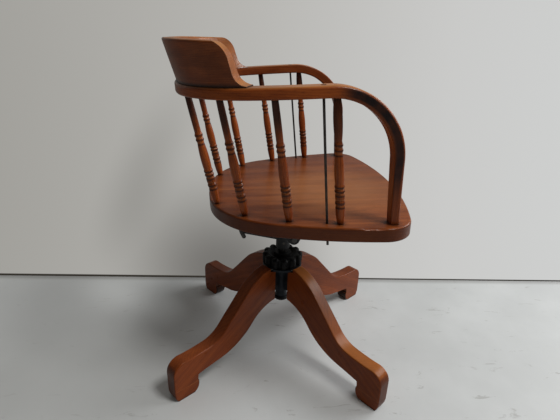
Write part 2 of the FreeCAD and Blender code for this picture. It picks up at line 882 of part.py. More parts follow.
def make_seat_iron():
    body = new_body("seat_iron")
    base = seat_underside - size("iron_thickness")
    half, bar = size("iron_half_width"), size("iron_bar")
    front, back = size("iron_front_y"), size("iron_back_y")
    frame = draw(sketch_on(body, "XY_Plane", "iron_frame", base), box_outline(-half, front, half, back))
    bar_y = size("spring_bar_y")
    draw(frame, box_outline(bar - half, front + bar, half - bar, bar_y - bar / 2))
    draw(frame, box_outline(bar - half, bar_y + bar / 2, half - bar, back - bar - 2))
    pad(body, frame, "iron_plate", "Sizes.iron_thickness")
    ears = sketch_on(body, "XY_Plane", "iron_ears", base)
    for x, y in iron_screw_spots()[:4]:
        draw_circle(ears, x, y, "Sizes.iron_ear_radius")
    pad(body, ears, "iron_ear_plates", "Sizes.iron_thickness")
    for name, side in SIDES.items():
        sketch = sketch_on(body, "YZ_Plane", f"cheek_{name}", side * size("cheek_inner_x"))
        draw(sketch, cheek_outline())
        window = (base - size("pivot_drop")) / 2 + size("cheek_window_rise")
        draw_circle(sketch, size("cheek_window_y"), window, "Sizes.cheek_window_radius")
        pad(body, sketch, f"cheek_plate_{name}", "Sizes.cheek_thickness", backwards=side < 0)
    eye = sketch_on(body, "YZ_Plane", "pivot_eye")
    draw_circle(eye, size("pivot_y"), -size("pivot_drop"), "Sizes.pivot_rod_radius + Sizes.running_fit")
    reach = "2 * (Sizes.cheek_inner_x + Sizes.cheek_thickness + 2)"
    pocket(body, eye, "pivot_bores", reach, symmetric=True)
    holes = sketch_on(body, "XY_Plane", "iron_screw_holes", seat_underside)
    for x, y in iron_screw_spots():
        draw_circle(holes, x, y, "Sizes.wood_screw_radius + Sizes.socket_gap")
    pocket(body, holes, "iron_screw_bores", "Sizes.iron_thickness")
    sinks = sketch_on(body, "XY_Plane", "iron_screw_sinks", base)
    for x, y in iron_screw_spots():
        draw_circle(sinks, x, y, "Sizes.wood_screw_head_radius + Sizes.socket_gap")
    pocket(body, sinks, "iron_screw_seats", "Sizes.iron_thickness / 2", backwards=True)
    hook_way = hook_top() - hook_knee()
    bore = document.addObject("Part::Feature", "hook_bore")
    start, end = hook_knee() + hook_way * 0.7, hook_knee() + hook_way * 1.3
    bore.Shape = rod(start, end, size("hook_radius") + size("socket_gap"))
    iron = document.addObject("Part::Cut", "seat_iron_bored")
    iron.Base = body
    iron.Tool = bore
    body.Label = "seat_iron_casting"
    keep(iron, "seat_iron", seat_frame)


def wood_screw(length, head_radius, shank_radius):
    # Head down at the foot, so the screw is driven along +Z.
    outline = Outline(0, 0).line_to(head_radius, 0).line_to(head_radius, 0.6)
    outline.line_to(shank_radius, 3.0).line_to(shank_radius, length - 5).line_to(0, length)
    return turned(outline.close())


def make_iron_screws():
    head, shank = size("wood_screw_head_radius"), size("wood_screw_radius")
    length = size("wood_screw_length") - 1
    start = seat_underside - size("iron_thickness")
    screws = [aimed(wood_screw(length, head, shank), Vector(x, y, start), Z_WAY)
              for x, y in iron_screw_spots()]
    solid_node(Part.makeCompound(screws), "seat_iron_screws", seat_frame)


# Stop hook: keeps the seat from tipping forward past its rest


def hook_top():
    return Vector(0, size("hook_top_y"), seat_underside - 0.5)


def hook_knee():
    return Vector(0, size("hook_knee_y"), -size("hook_knee_drop"))


def hook_toe():
    return Vector(0, size("hook_toe_y"), -size("hook_toe_drop"))


def make_stop_hook():
    top, knee, toe = hook_top(), hook_knee(), hook_toe()
    down = (knee - top).normalize()
    out = (toe - knee).normalize()
    bend = down.getAngle(out)
    slack = size("hook_knee_radius") * math.tan(bend / 2)
    start, end = knee - down * slack, knee + out * slack
    inward = (out - down).normalize()
    middle = knee + inward * (size("hook_knee_radius") * (1 / math.cos(bend / 2) - 1))
    arc = Part.Arc(start, middle, end)
    spine = Part.Wire([
        Part.LineSegment(top, start).toShape(), arc.toShape(), Part.LineSegment(end, toe).toShape(),
    ])
    circle = Part.Wire([Part.Circle(top, down, size("hook_radius")).toShape()])
    hook = pipe(spine, [circle]).fuse(Part.makeSphere(size("hook_radius"), toe)).removeSplitter()
    flat = Part.makeBox(40, 40, 20, Vector(-20, top.y - 20, seat_underside))
    solid_node(hook.cut(flat), "stop_hook", seat_frame)
    nut = hexagon(size("hook_nut_width"), size("hook_nut_height"), 0.5)
    under = seat_underside - size("iron_thickness")
    spot = top + down * ((top.z - under) / -down.z)
    nut.translate(Vector(0, spot.y, under - size("hook_nut_height")))
    solid_node(nut.cut(rod(top, knee, size("hook_radius") + 0.02)), "stop_hook_nut", seat_frame)


# Pivot rod, its pin, and the two torsion springs, drawn in the column's frame


def pivot_point():
    return seat_frame.multVec(Vector(0, size("pivot_y"), -size("pivot_drop")))


def make_pivot_rod():
    pivot = pivot_point()
    half = size("cheek_inner_x") + size("cheek_thickness") + size("pivot_rod_tail")
    body = new_body("pivot_rod_turned")
    sketch = sketch_on(body, "YZ_Plane", "pivot_rod_section")
    draw_circle(sketch, pivot.y, pivot.z, "Sizes.pivot_rod_radius")
    reach = "2 * (Sizes.cheek_inner_x + Sizes.cheek_thickness + Sizes.pivot_rod_tail)"
    pad(body, sketch, "pivot_rod_bar", reach, symmetric=True)
    hole = sketch_on(body, "XY_Plane", "pivot_rod_pin_hole", pivot.z)
    draw_circle(hole, 0, pivot.y, "Sizes.cross_pin_radius - 1")
    pocket(body, hole, "pivot_rod_pin_bore", "4 * Sizes.pivot_rod_radius", symmetric=True)
    ease(body, "pivot_rod_ends", "Sizes.pivot_rod_end_round",
         lambda edge: abs(abs(edge.BoundBox.XMin) - half) < 1e-4 and edge.BoundBox.XLength < 1e-4)
    keep(body, "pivot_rod", column_frame)
    pin = document.addObject("Part::Cylinder", "pivot_rod_pin")
    pin.setExpression("Radius", "Sizes.cross_pin_radius - 1")
    pin.setExpression("Height", "2 * Sizes.barrel_radius - 2")
    keep(pin, "pivot_rod_pin", Placement(pivot - Z_WAY * (size("barrel_radius") - 1), Rotation()))


def arc_by_corner(start, corner, end):
    # The arc that touches both lines of an even-sided corner.
    middle = (start + end) / 2
    half = (end - start).Length / 2
    bend = math.acos(min(1.0, half / (corner - start).Length))
    top = middle + (corner - middle).normalize() * (half * math.tan(bend / 2))
    return Part.Arc(start, top, end).toShape()


def biarc(start, way, end, end_way):
    # Two arcs from one point and direction to another, as smooth as the helix they stand for.
    span = end - start
    both = way + end_way
    flat = 2 * (1 - way.dot(end_way))
    along = span.dot(both)
    reach = (math.sqrt(along * along + flat * span.dot(span)) - along) / flat
    first, second = start + way * reach, end - end_way * reach
    join = (first + second) / 2
    return [arc_by_corner(start, first, join), arc_by_corner(join, second, end)]


def spring_spine(side):
    pivot = pivot_point()
    coil = size("spring_coil_radius")
    wire = size("spring_wire_radius")
    seat_way = seat_frame.Rotation.multVec(Y_WAY)
    low = size("seat_thickness") + size("iron_thickness") + wire + size("spring_gap")
    corner = seat_frame.multVec(Vector(0, size("spring_bar_y") - 4, -low))
    reach = corner - pivot
    leave = math.atan2(reach.z, reach.y) + math.asin(coil / reach.Length)
    first = math.radians(90)
    last = leave - first + math.radians(360) * (size("spring_whole_turns") + 1)
    steps = 15
    turn_step = (last - first) / steps
    ease_in = 0.1
    advance = (size("spring_outer_x") - size("spring_inner_x")) / (steps - 2 * ease_in)

    def place(number):
        angle = first + turn_step * number
        share = min(max(number - ease_in, 0.0), steps - 2 * ease_in)
        x = side * (size("spring_inner_x") + advance * share)
        spot = Vector(x, pivot.y + coil * math.cos(angle), pivot.z + coil * math.sin(angle))
        rate = 0.0 if number in (0, steps) else side * advance / turn_step
        way = Vector(rate, -coil * math.sin(angle), coil * math.cos(angle)).normalize()
        return spot, way

    start, start_way = place(0)
    tail = Vector(start.x, size("ledge_back_y"), start.z)
    edges = [Part.LineSegment(tail, start).toShape()]
    for number in range(steps):
        spot, way = place(number)
        after, after_way = place(number + 1)
        edges += biarc(spot, way, after, after_way)
    end, end_way = place(steps)
    corner.x = end.x
    bend = end_way.getAngle(seat_way)
    slack = (wire * 2.4) * math.tan(bend / 2)
    before, past = corner - end_way * slack, corner + seat_way * slack
    edges.append(Part.LineSegment(end, before).toShape())
    edges.append(arc_by_corner(before, corner, past))
    edges.append(Part.LineSegment(past, past + seat_way * 9).toShape())
    return Part.Wire(edges), Y_WAY


def least_gap(spine, wire_radius):
    # Distance between turns, measured on points along the middle of the wire.
    points, lengths, walked = [], [], 0.0
    for edge in spine.Edges:
        count = max(3, int(edge.Length / 0.8))
        found = edge.discretize(count)
        if points and found[0].distanceToPoint(points[-1]) > found[-1].distanceToPoint(points[-1]):
            found.reverse()
        for point in found:
            if points:
                walked += point.distanceToPoint(points[-1])
            points.append(point)
            lengths.append(walked)
    least = 1e9
    for first in range(len(points)):
        for second in range(first + 1, len(points)):
            if lengths[second] - lengths[first] > 8 * wire_radius:
                least = min(least, points[first].distanceToPoint(points[second]))
    return least - 2 * wire_radius


def make_springs():
    for name, side in SIDES.items():
        spine, way = spring_spine(side)
        start = spine.Edges[0].Vertexes[0].Point
        if abs(start.y - size("ledge_back_y")) > 1e-6:
            start = spine.Edges[0].Vertexes[-1].Point
        circle = Part.Wire([Part.Circle(start, way, size("spring_wire_radius")).toShape()])
        spring = pipe(spine, [circle])
        print(f"tilt_spring_{name}: least gap to itself "
              f"{least_gap(spine, size('spring_wire_radius')):.2f} mm")
        solid_node(spring, f"tilt_spring_{name}", column_frame)


# Tilt yoke on top of the screw: boss, pivot barrel, rear arm and spring ledge


def nose_point():
    top, knee, toe = hook_top(), hook_knee(), hook_toe()
    down, out = (knee - top).normalize(), (toe - knee).normalize()
    inward = (out - down).normalize()
    bend = down.getAngle(out)
    depth = size("hook_knee_radius") * (1 / math.cos(bend / 2) - 1)
    depth += size("hook_radius") + size("yoke_nose_radius") + size("hook_gap")
    return seat_frame.multVec(knee + inward * depth)


def make_tilt_yoke():
    pivot, nose = pivot_point(), nose_point()
    barrel, tip = size("barrel_radius"), size("yoke_nose_radius")
    body = new_body("tilt_yoke")
    boss = sketch_on(body, "XY_Plane", "yoke_boss", boss_foot)
    draw_circle(boss, 0, 0, "Sizes.boss_radius")
    pad(body, boss, "yoke_boss_pad", "Sizes.boss_height")
    ring = sketch_on(body, "YZ_Plane", "yoke_barrel")
    draw_circle(ring, pivot.y, pivot.z, "Sizes.barrel_radius")
    pad(body, ring, "yoke_barrel_pad", "2 * Sizes.barrel_half_length", symmetric=True)
    arm = sketch_on(body, "YZ_Plane", "yoke_arm")
    outline = Outline(pivot.y, pivot.z + barrel).line_to(nose.y, nose.z + tip)
    outline.arc_through((nose.y + tip, nose.z), (nose.y, nose.z - tip))
    outline.line_to(size("boss_radius") - 3, boss_foot + 25)
    draw(arm, outline.line_to(pivot.y, pivot.z - barrel).close())
    pad(body, arm, "yoke_arm_pad", "Sizes.yoke_arm_width", symmetric=True)
    top = pivot.z + size("spring_coil_radius") - size("spring_wire_radius") - size("spring_gap")
    back = size("ledge_back_y")
    ledge = sketch_on(body, "YZ_Plane", "spring_ledge")
    draw(ledge, box_outline(back - size("ledge_length"), top - size("ledge_thickness"), back, top))
    pad(body, ledge, "spring_ledge_pad", "2 * Sizes.ledge_half_width", symmetric=True)
    ease(body, "yoke_corners", "Sizes.yoke_corner_round", lambda edge: (
        abs(abs(edge.BoundBox.XMax) - size("ledge_half_width")) < 1e-4
        and edge.BoundBox.XLength < 1e-4 and edge.BoundBox.YLength < 1e-4
    ))
    socket = sketch_on(body, "XY_Plane", "screw_socket", boss_foot)
    draw_circle(socket, 0, 0, "Sizes.screw_radius + Sizes.running_fit")
    pocket(body, socket, "screw_socket_bore", "Sizes.screw_grip", backwards=True)
    bore = sketch_on(body, "YZ_Plane", "rod_bore")
    draw_circle(bore, pivot.y, pivot.z, "Sizes.pivot_rod_radius + Sizes.running_fit")
    pocket(body, bore, "rod_bore_cut", "4 * Sizes.barrel_half_length", symmetric=True)
    pin = sketch_on(body, "XY_Plane", "rod_pin_hole", pivot.z)
    draw_circle(pin, 0, pivot.y, "Sizes.cross_pin_radius - 1 + Sizes.running_fit / 2")
    pocket(body, pin, "rod_pin_bore", "2 * Sizes.barrel_radius + 4", symmetric=True)
    cross = sketch_on(body, "YZ_Plane", "cross_pin_hole")
    draw_circle(cross, 0, boss_foot + size("cross_pin_rise"),
                "Sizes.cross_pin_radius + Sizes.running_fit / 2")
    pocket(body, cross, "cross_pin_bore", "3 * Sizes.boss_radius", symmetric=True)
    keep(body, "tilt_yoke", column_frame)


# Screw spindle and its pin


def make_screw_spindle():
    body = new_body("screw_spindle")
    radius = size("screw_radius")
    foot = screw_foot
    top = boss_foot + size("screw_grip")
    outline = Outline(0, foot).line_to(radius - 2, foot).line_to(radius, foot + 2)
    outline.line_to(radius, top - 1).line_to(radius - 1, top).line_to(0, top)
    sketch = draw(sketch_on(body, "XZ_Plane", "screw_profile"), outline.close())
    revolve(body, sketch, "screw_turning")
    hole = sketch_on(body, "YZ_Plane", "screw_pin_hole")
    draw_circle(hole, 0, boss_foot + size("cross_pin_rise"),
                "Sizes.cross_pin_radius + Sizes.running_fit / 2")
    pocket(body, hole, "screw_pin_bore", "3 * Sizes.screw_radius", symmetric=True)
    keep(body, "screw_spindle", column_frame)
    pin = document.addObject("Part::Cylinder", "spindle_cross_pin")
    pin.setExpression("Radius", "Sizes.cross_pin_radius")
    pin.setExpression("Height", "2 * Sizes.boss_radius + 1")
    start = Vector(-size("boss_radius") - 0.5, 0, boss_foot + size("cross_pin_rise"))
    keep(pin, "spindle_cross_pin", Placement(start, Rotation(Y_WAY, 90)))


# Handwheel and the thrust washer below it


def wheel_foot():
    return flange_top + size("thrust_washer_thickness")


def make_thrust_washer():
    body = new_body("thrust_washer")
    ring = sketch_on(body, "XY_Plane", "washer_ring", flange_top)
    draw_circle(ring, 0, 0, "Sizes.thrust_washer_radius")
    draw_circle(ring, 0, 0, "Sizes.screw_radius + Sizes.free_gap")
    pad(body, ring, "washer_pad", "Sizes.thrust_washer_thickness")
    keep(body, "thrust_washer", column_frame)


def make_handwheel():
    foot, high = wheel_foot(), size("wheel_height")
    bore = size("screw_radius") + size("running_fit")
    hub, rib = size("wheel_hub_radius"), size("wheel_rib")
    lobe = size("wheel_lobe_radius")
    rim = size("wheel_radius") - lobe
    body = new_body("handwheel")
    top = foot + high
    outline = Outline(bore, foot).line_to(rim + 1, foot).line_to(rim + 1, top - 5)
    outline.line_to(rim - 6, top - 3).line_to(hub + 8, top - 9).line_to(hub + rib, top - 9)
    outline.line_to(hub + rib - 2, top).line_to(bore, top).close()
    sketch = draw(sketch_on(body, "XZ_Plane", "wheel_profile"), outline)
    revolve(body, sketch, "wheel_turning")
    lobes = sketch_on(body, "XZ_Plane", "wheel_lobe_profile")
    knob = Outline(rim, foot).line_to(rim + lobe - 2, foot).line_to(rim + lobe, foot + 2)
    knob.line_to(rim + lobe, top - 7).line_to(rim + lobe - 3, top - 3.5)
    draw(lobes, knob.line_to(rim, top - 2.5).close())
    turning = body.newObject("PartDesign::Revolution", "wheel_lobe")
    turning.Profile = lobes
    turning.ReferenceAxis = (lobes, ["Edge6"])
    turning.Angle = 360
    repeat_round(body, turning, "wheel_lobes_round", "Sizes.wheel_lobes")
    keep(body, "handwheel", column_frame)


# Hub casting under the wheel, its foot ring, and the four legs


def leg_turn(number):
    return Placement(Vector(), Rotation(Z_WAY, size("base_turn") + 45 + 90 * number))


LEGS = ("rear_left", "rear_right", "front_right", "front_left")


def make_hub():
    bore = size("screw_radius") + size("free_gap") + 0.1
    tube, flange = size("tube_radius"), size("flange_radius")
    foot, top, under = tube_foot, flange_top, leg_shelf
    body = new_body("hub_casting")
    outline = Outline(bore, foot).line_to(tube, foot).line_to(tube, under).line_to(flange, under)
    outline.line_to(flange, top).line_to(bore, top).close()
    sketch = draw(sketch_on(body, "XZ_Plane", "hub_profile"), outline)
    revolve(body, sketch, "hub_turning")
    reach = size("fin_reach")
    fin = sketch_on(body, "XZ_Plane", "hub_fin_outline")
    shape = Outline(tube - 1, fin_foot)
    shape.line_to(reach - size("fin_toe_inset"), fin_foot + size("fin_toe_rise"))
    shape.line_to(reach, fin_foot + size("fin_tip_rise"))
    draw(fin, shape.line_to(reach, under).line_to(tube - 1, under).close())
    web = pad(body, fin, "hub_fin", "Sizes.fin_thickness", symmetric=True)
    repeat_round(body, web, "hub_fins", "4")
    for name, radius, depth in (
        ("shank", "wood_screw_radius", "Sizes.flange_thickness"),
        ("head", "wood_screw_head_radius", "Sizes.flange_thickness / 2"),
    ):
        holes = sketch_on(body, "XY_Plane", f"hub_screw_{name}", top)
        for side in SIDES.values():
            spot = size("leg_screw_circle"), side * size("leg_screw_side")
            draw_circle(holes, spot[0], spot[1], f"Sizes.{radius} + Sizes.socket_gap")
        cut = pocket(body, holes, f"hub_screw_{name}_bore", depth)
        repeat_round(body, cut, f"hub_screw_{name}_bores", "4")
    keep(body, "hub_casting", leg_turn(0))


def make_hub_ring():
    body = new_body("hub_bottom_ring")
    lip, high, outer = tube_foot, size("ring_height"), size("ring_radius")
    inner, tube = size("screw_radius") + 1, size("tube_radius")
    foot = lip - size("ring_lip")
    outline = Outline(inner, foot).line_to(outer - 1.2, foot).line_to(outer, foot + 1.2)
    outline.line_to(outer, foot + high - 1.2).line_to(outer - 1.2, foot + high)
    outline.line_to(tube, foot + high).line_to(tube, lip).line_to(inner, lip).close()
    draw_in = draw(sketch_on(body, "XZ_Plane", "ring_profile"), outline)
    revolve(body, draw_in, "ring_turning")
    keep(body, "hub_bottom_ring", column_frame)


def leg_out(share):
    # Distance from the column at a share of the way from the leg's root to its toe.
    return size("leg_root") + (size("foot_reach") - size("leg_root")) * share


def leg_up(share):
    # Height at a share of the way from the sole to the shelf under the hub's flange.
    return size("foot_block_height") + (leg_shelf - size("foot_block_height")) * share


def leg_outline():
    root, well, reach = size("leg_root"), size("leg_well_radius"), size("foot_reach")
    sole, heel = size("foot_block_height"), reach - size("foot_block_length") + size("leg_heel_step")
    girth = leg_out(1) - root
    outline = Outline(well, flange_top + size("leg_shoulder_rise"), -9)
    outline.arc_to(leg_out(0.297), leg_up(0.859)).ahead(0.347 * girth)
    outline.turn(0.24 * girth, 39).arc_to(reach - size("leg_crown_inset"), leg_up(0.352))
    toe = (reach - outline.at.x) / (1 + math.sin(outline.heading))
    outline.turn(toe, -90 - math.degrees(outline.heading))
    outline.line_to(reach, sole).line_to(heel, sole).line_to(heel - 2, leg_up(0.075))
    outline.aim(168.4).arc_to(leg_out(0.59), leg_up(0.124)).arc_to(leg_out(0.246), leg_up(0.392))
    outline.arc_to(root, leg_up(0.577))
    return outline.line_to(root, leg_shelf).line_to(well, leg_shelf).close()


def long_curve(edge):
    # The curved edges of a leg's side faces and its toe line, without the sole and straight cuts.
    half = size("leg_thickness") / 2
    box = edge.BoundBox
    on_side = abs(abs(box.YMin) - half) < 1e-4 and box.YLength < 1e-4
    toe_line = box.XMin > size("foot_reach") - 1e-3
    return on_side and box.ZLength > 1e-3 and (toe_line or box.XLength > 3)


def make_leg(name, number):
    body = new_body(f"leg_{name}")
    sketch = draw(sketch_on(body, "XZ_Plane", f"leg_{name}_outline"), leg_outline())
    pad(body, sketch, f"leg_{name}_plank", "Sizes.leg_thickness", symmetric=True)
    ease(body, f"leg_{name}_rounds", "Sizes.leg_edge_round", long_curve)
    gap = size("free_gap")
    slot = sketch_on(body, "XZ_Plane", f"leg_{name}_slot")
    reach = size("fin_reach") + 1
    draw(slot, box_outline(size("leg_root") - 5, fin_foot - gap, reach, leg_shelf))
    pocket(body, slot, f"leg_{name}_slot_cut", "Sizes.fin_thickness + Sizes.free_gap", symmetric=True)
    drilled = sketch_on(body, "XY_Plane", f"leg_{name}_shelf_holes", leg_shelf)
    for side in SIDES.values():
        draw_circle(drilled, size("leg_screw_circle"), side * size("leg_screw_side"),
                    "Sizes.wood_screw_radius + Sizes.socket_gap")
    pocket(body, drilled, f"leg_{name}_shelf_bores", "Sizes.wood_screw_length - 4")
    sole = sketch_on(body, "XY_Plane", f"leg_{name}_sole_holes", size("foot_block_height"))
    for radius in foot_screw_spots():
        draw_circle(sole, radius, 0, "Sizes.wood_screw_radius + Sizes.socket_gap")
    pocket(body, sole, f"leg_{name}_sole_bores", "Sizes.wood_screw_length - 6", backwards=True)
    keep(body, f"leg_{name}", leg_turn(number))


def foot_screw_spots():
    return [size("foot_reach") - size(f"foot_screw_{end}_inset") for end in ("heel", "toe")]


def make_foot_block(name, number):
    body = new_body(f"foot_block_{name}")
    high, reach = size("foot_block_height"), size("foot_reach")
    heel = reach - size("foot_block_length")
    outline = Outline(heel + 1, high).arc_through((heel + 1, high / 2), (heel + 11.5, 0))
    outline.line_to(reach - 6.5, 0).arc_through((reach - 1.2, high / 2), (reach - 0.3, high)).close()
    sketch = draw(sketch_on(body, "XZ_Plane", f"foot_{name}_outline"), outline)
    pad(body, sketch, f"foot_{name}_block", "Sizes.leg_thickness", symmetric=True)
    ease(body, f"foot_{name}_rounds", "Sizes.leg_edge_round", lambda edge: (
        abs(edge.BoundBox.YLength) < 1e-4 and edge.BoundBox.ZLength > high - 1
    ))
    holes = sketch_on(body, "XY_Plane", f"foot_{name}_holes", 0)
    heads = sketch_on(body, "XY_Plane", f"foot_{name}_heads", 0)
    for radius in foot_screw_spots():
        draw_circle(holes, radius, 0, "Sizes.wood_screw_radius + Sizes.socket_gap")
        draw_circle(heads, radius, 0, "Sizes.wood_screw_head_radius + Sizes.socket_gap")
    pocket(body, holes, f"foot_{name}_bores", "Sizes.foot_block_height", backwards=True)
    pocket(body, heads, f"foot_{name}_sinks", "Sizes.foot_block_height / 5 + 3", backwards=True)
    keep(body, f"foot_block_{name}", leg_turn(number))


def make_base_screws():
    head, shank = size("wood_screw_head_radius"), size("wood_screw_radius")
    length = size("wood_screw_length")
    down, up = [], []
    for number in range(len(LEGS)):
        turn = leg_turn(number)
        for side in SIDES.values():
            spot = turn.multVec(Vector(
                size("leg_screw_circle"), side * size("leg_screw_side"), flange_top))
            down.append(aimed(wood_screw(length, head, shank), spot, -Z_WAY))
        for radius in foot_screw_spots():
            spot = turn.multVec(Vector(radius, 0, size("foot_screw_start")))
            long_screw = wood_screw(length + size("foot_screw_extra"), head, shank)
            up.append(aimed(long_screw, spot, Z_WAY))
    solid_node(Part.makeCompound(down), "leg_screws", column_frame)
    solid_node(Part.makeCompound(up), "foot_block_screws", column_frame)


# Build every piece

for number, name in enumerate(LEGS):
    make_leg(name, number)
    make_foot_block(name, number)
make_base_screws()
make_hub()
make_hub_ring()
make_thrust_washer()
make_handwheel()
make_screw_spindle()
make_tilt_yoke()
make_pivot_rod()
make_springs()
make_seat_iron()
make_iron_screws()
make_stop_hook()
arm_foot, arm_down = make_arm_bow()
make_crest()
solid_node(Part.makeCompound(crest_dowels()), "crest_dowels", seat_frame)
for spindle_name, spindle_station in SPINDLES.items():
    for side_name, side_way in SIDES.items():
        make_spindle(f"spindle_{spindle_name}_{side_name}", spindle_station, side_way)
make_tie_rods()
make_seat(arm_foot, arm_down)
document.recompute()

# Check every feature and every piece, then write the pieces

for feature in document.Objects:
    if {"Invalid", "Error"} & set(feature.State):
        raise RuntimeError(f"{feature.Label} did not build: {feature.State}")
for piece in finished:
    if piece.Shape.isNull() or not piece.Shape.isValid():
        raise RuntimeError(f"{piece.Label} is not a sound solid")
    if not piece.Shape.Solids or piece.Shape.Volume < 1:
        raise RuntimeError(f"{piece.Label} holds no solid")
    piece.Shape.exportStep(f"parts/{piece.Label}.step")
print(f"{len(finished)} pieces written")
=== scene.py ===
"""Looks of the bankers swivel chair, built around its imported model.

Metres, Z up. The sitter looks along -Y and has +X on the left.
"""

import math

import bpy
from mathutils import Matrix, Vector


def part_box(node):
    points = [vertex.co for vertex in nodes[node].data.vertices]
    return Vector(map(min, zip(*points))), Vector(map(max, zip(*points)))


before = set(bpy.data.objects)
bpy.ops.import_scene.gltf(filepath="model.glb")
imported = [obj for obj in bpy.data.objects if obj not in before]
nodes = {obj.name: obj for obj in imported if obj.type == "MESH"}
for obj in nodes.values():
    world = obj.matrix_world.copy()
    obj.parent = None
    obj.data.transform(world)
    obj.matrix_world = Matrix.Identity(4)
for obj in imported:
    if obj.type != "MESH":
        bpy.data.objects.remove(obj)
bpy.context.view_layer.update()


# Places on the chair

UPWARD = (0.0, 0.0, 1.0)
BACKWARD = (0.0, 1.0, 0.0)
FORWARD = (0.0, -1.0, 0.0)

# Height of the seat's sat-on face; its rim at the back stands a little higher.
SEAT_TOP = 0.468

# Middle of the bow's rear corners in plan, left and right alike, and their radius.
CORNER_X = 0.085
CORNER_Y = 0.035
CORNER_RADIUS = 0.177

# Middle and radius of the bends where the bow turns down into its posts.
BEND_Y = -0.049
BEND_Z = 0.599
BEND_RADIUS = 0.1305

# The rail falls by this slope towards the back, and the crest's foot lies on it.
RAIL_FALL = math.tan(math.radians(3.83))
CREST_FOOT = 0.7366

# How much wider a spindle's box is than its lean, and how deep it goes into seat and bow.
SPINDLE_BOX_MARGIN = 0.018
FOOT_DEPTH = 0.018
HEAD_DEPTH = 0.013

# Where a spindle's turned grooves and beads lie, as shares of its free length.
GROOVES = (0.168, 0.207, 0.267, 0.304, 0.340, 0.590, 0.630, 0.671)
BEADS = (0.186, 0.237, 0.286, 0.323, 0.610, 0.650)
GROOVE_REACH = 0.012
BEAD_REACH = 0.009

# How far a leg's grain runs down for each step outward.
LEG_GRAIN_FALL = 0.62

# How far an edge's rubbing, and on wood its painted highlight, reaches in from the edge.
WOOD_EDGE = 0.0022
IRON_EDGE = 0.0014


# Tones


def oak(*tones):
    """Ramp stops from an oak's darkest streaks to its palest."""
    return list(zip((0.0, 0.35, 0.62, 1.0), tones))


SEAT_OAK = oak(
    (0.080, 0.0150, 0.0030), (0.172, 0.0390, 0.0075), (0.265, 0.069, 0.0140), (0.43, 0.155, 0.040)
)
BOW_OAK = oak(
    (0.080, 0.0140, 0.0028), (0.185, 0.0370, 0.0070), (0.315, 0.074, 0.0140), (0.48, 0.150, 0.035)
)
LEG_OAK = oak(
    (0.070, 0.0125, 0.0024), (0.157, 0.0300, 0.0050), (0.250, 0.054, 0.0090), (0.39, 0.108, 0.020)
)
WORN_AND_HIGHLIGHT = (0.60, 0.26, 0.070)
GRIME_AND_SHADE = (0.014, 0.0060, 0.0035)
POLISH_AND_SHADE = (0.050, 0.0100, 0.0030)

SEAT_WORN = (0.48, 0.220, 0.085)
SEAT_STREAK = (0.095, 0.019, 0.0050)
SEAT_FAR_SIDE = (0.090, 0.0180, 0.0050)

HAND_BLACK = (0.011, 0.0065, 0.0065)
POST_HAZE = (0.040, 0.0080, 0.0035)
CREST_BACK = (0.080, 0.030, 0.013)
CREST_FRONT_LIGHT = (0.30, 0.140, 0.040)

BEADED_POLISH = (0.045, 0.0120, 0.0050)
GROOVE_SHADE = (0.010, 0.0065, 0.0060)
HEAD_BLACK = (0.022, 0.0085, 0.0060)
RUST = (0.11, 0.045, 0.020)

# How far down a spindle's head is blackened, as a share of its free length, and how strongly.
HEAD_DARKENING = (0.34, 0.86)
RIGHT_ARM_HEAD_DARKENING = (0.50, 0.74)

# How strongly a leg's upper face takes painted light and shade, and the tone it goes to.
LEG_TOP_LIGHT_AND_SHADE = {
    "rear_left": (0.45, (0.075, 0.017, 0.0050)),
    "rear_right": (0.12, (0.300, 0.085, 0.020)),
    "front_right": (0.26, WORN_AND_HIGHLIGHT),
    "front_left": (0.40, (0.085, 0.021, 0.0060)),
}


# Shader maths


class Wire:
    """One socket of a finish. Arithmetic on it adds Math nodes."""

    def __init__(self, finish, socket):
        self.finish = finish
        self.socket = socket

    def at(self, name):
        """Another output of the same node."""
        return Wire(self.finish, self.socket.node.outputs[name])

    def maths(self, operation, *values):
        return self.finish.node("Math", {"operation": operation}, dict(enumerate(values)))

    def __add__(self, other):
        return self.maths("ADD", self, other)

    def __sub__(self, other):
        return self.maths("SUBTRACT", self, other)

    def __rsub__(self, other):
        return self.maths("SUBTRACT", other, self)

    def __mul__(self, other):
        return self.maths("MULTIPLY", self, other)

    def __truediv__(self, other):
        return self.maths("DIVIDE", self, other)

    def __rtruediv__(self, other):
        return self.maths("DIVIDE", other, self)

    def __pow__(self, other):
        return self.maths("POWER", self, other)

    def __abs__(self):
        return self.maths("ABSOLUTE", self)

    __radd__ = __add__
    __rmul__ = __mul__

    def above(self, floor):
        return self.maths("MAXIMUM", self, floor)

    def below(self, ceiling):
        return self.maths("MINIMUM", self, ceiling)

    def sine(self):
        return self.maths("SINE", self)

    def root(self):
        return self.maths("SQRT", self)

    def angle_from(self, other):
        return self.maths("ARCTAN2", self, other)


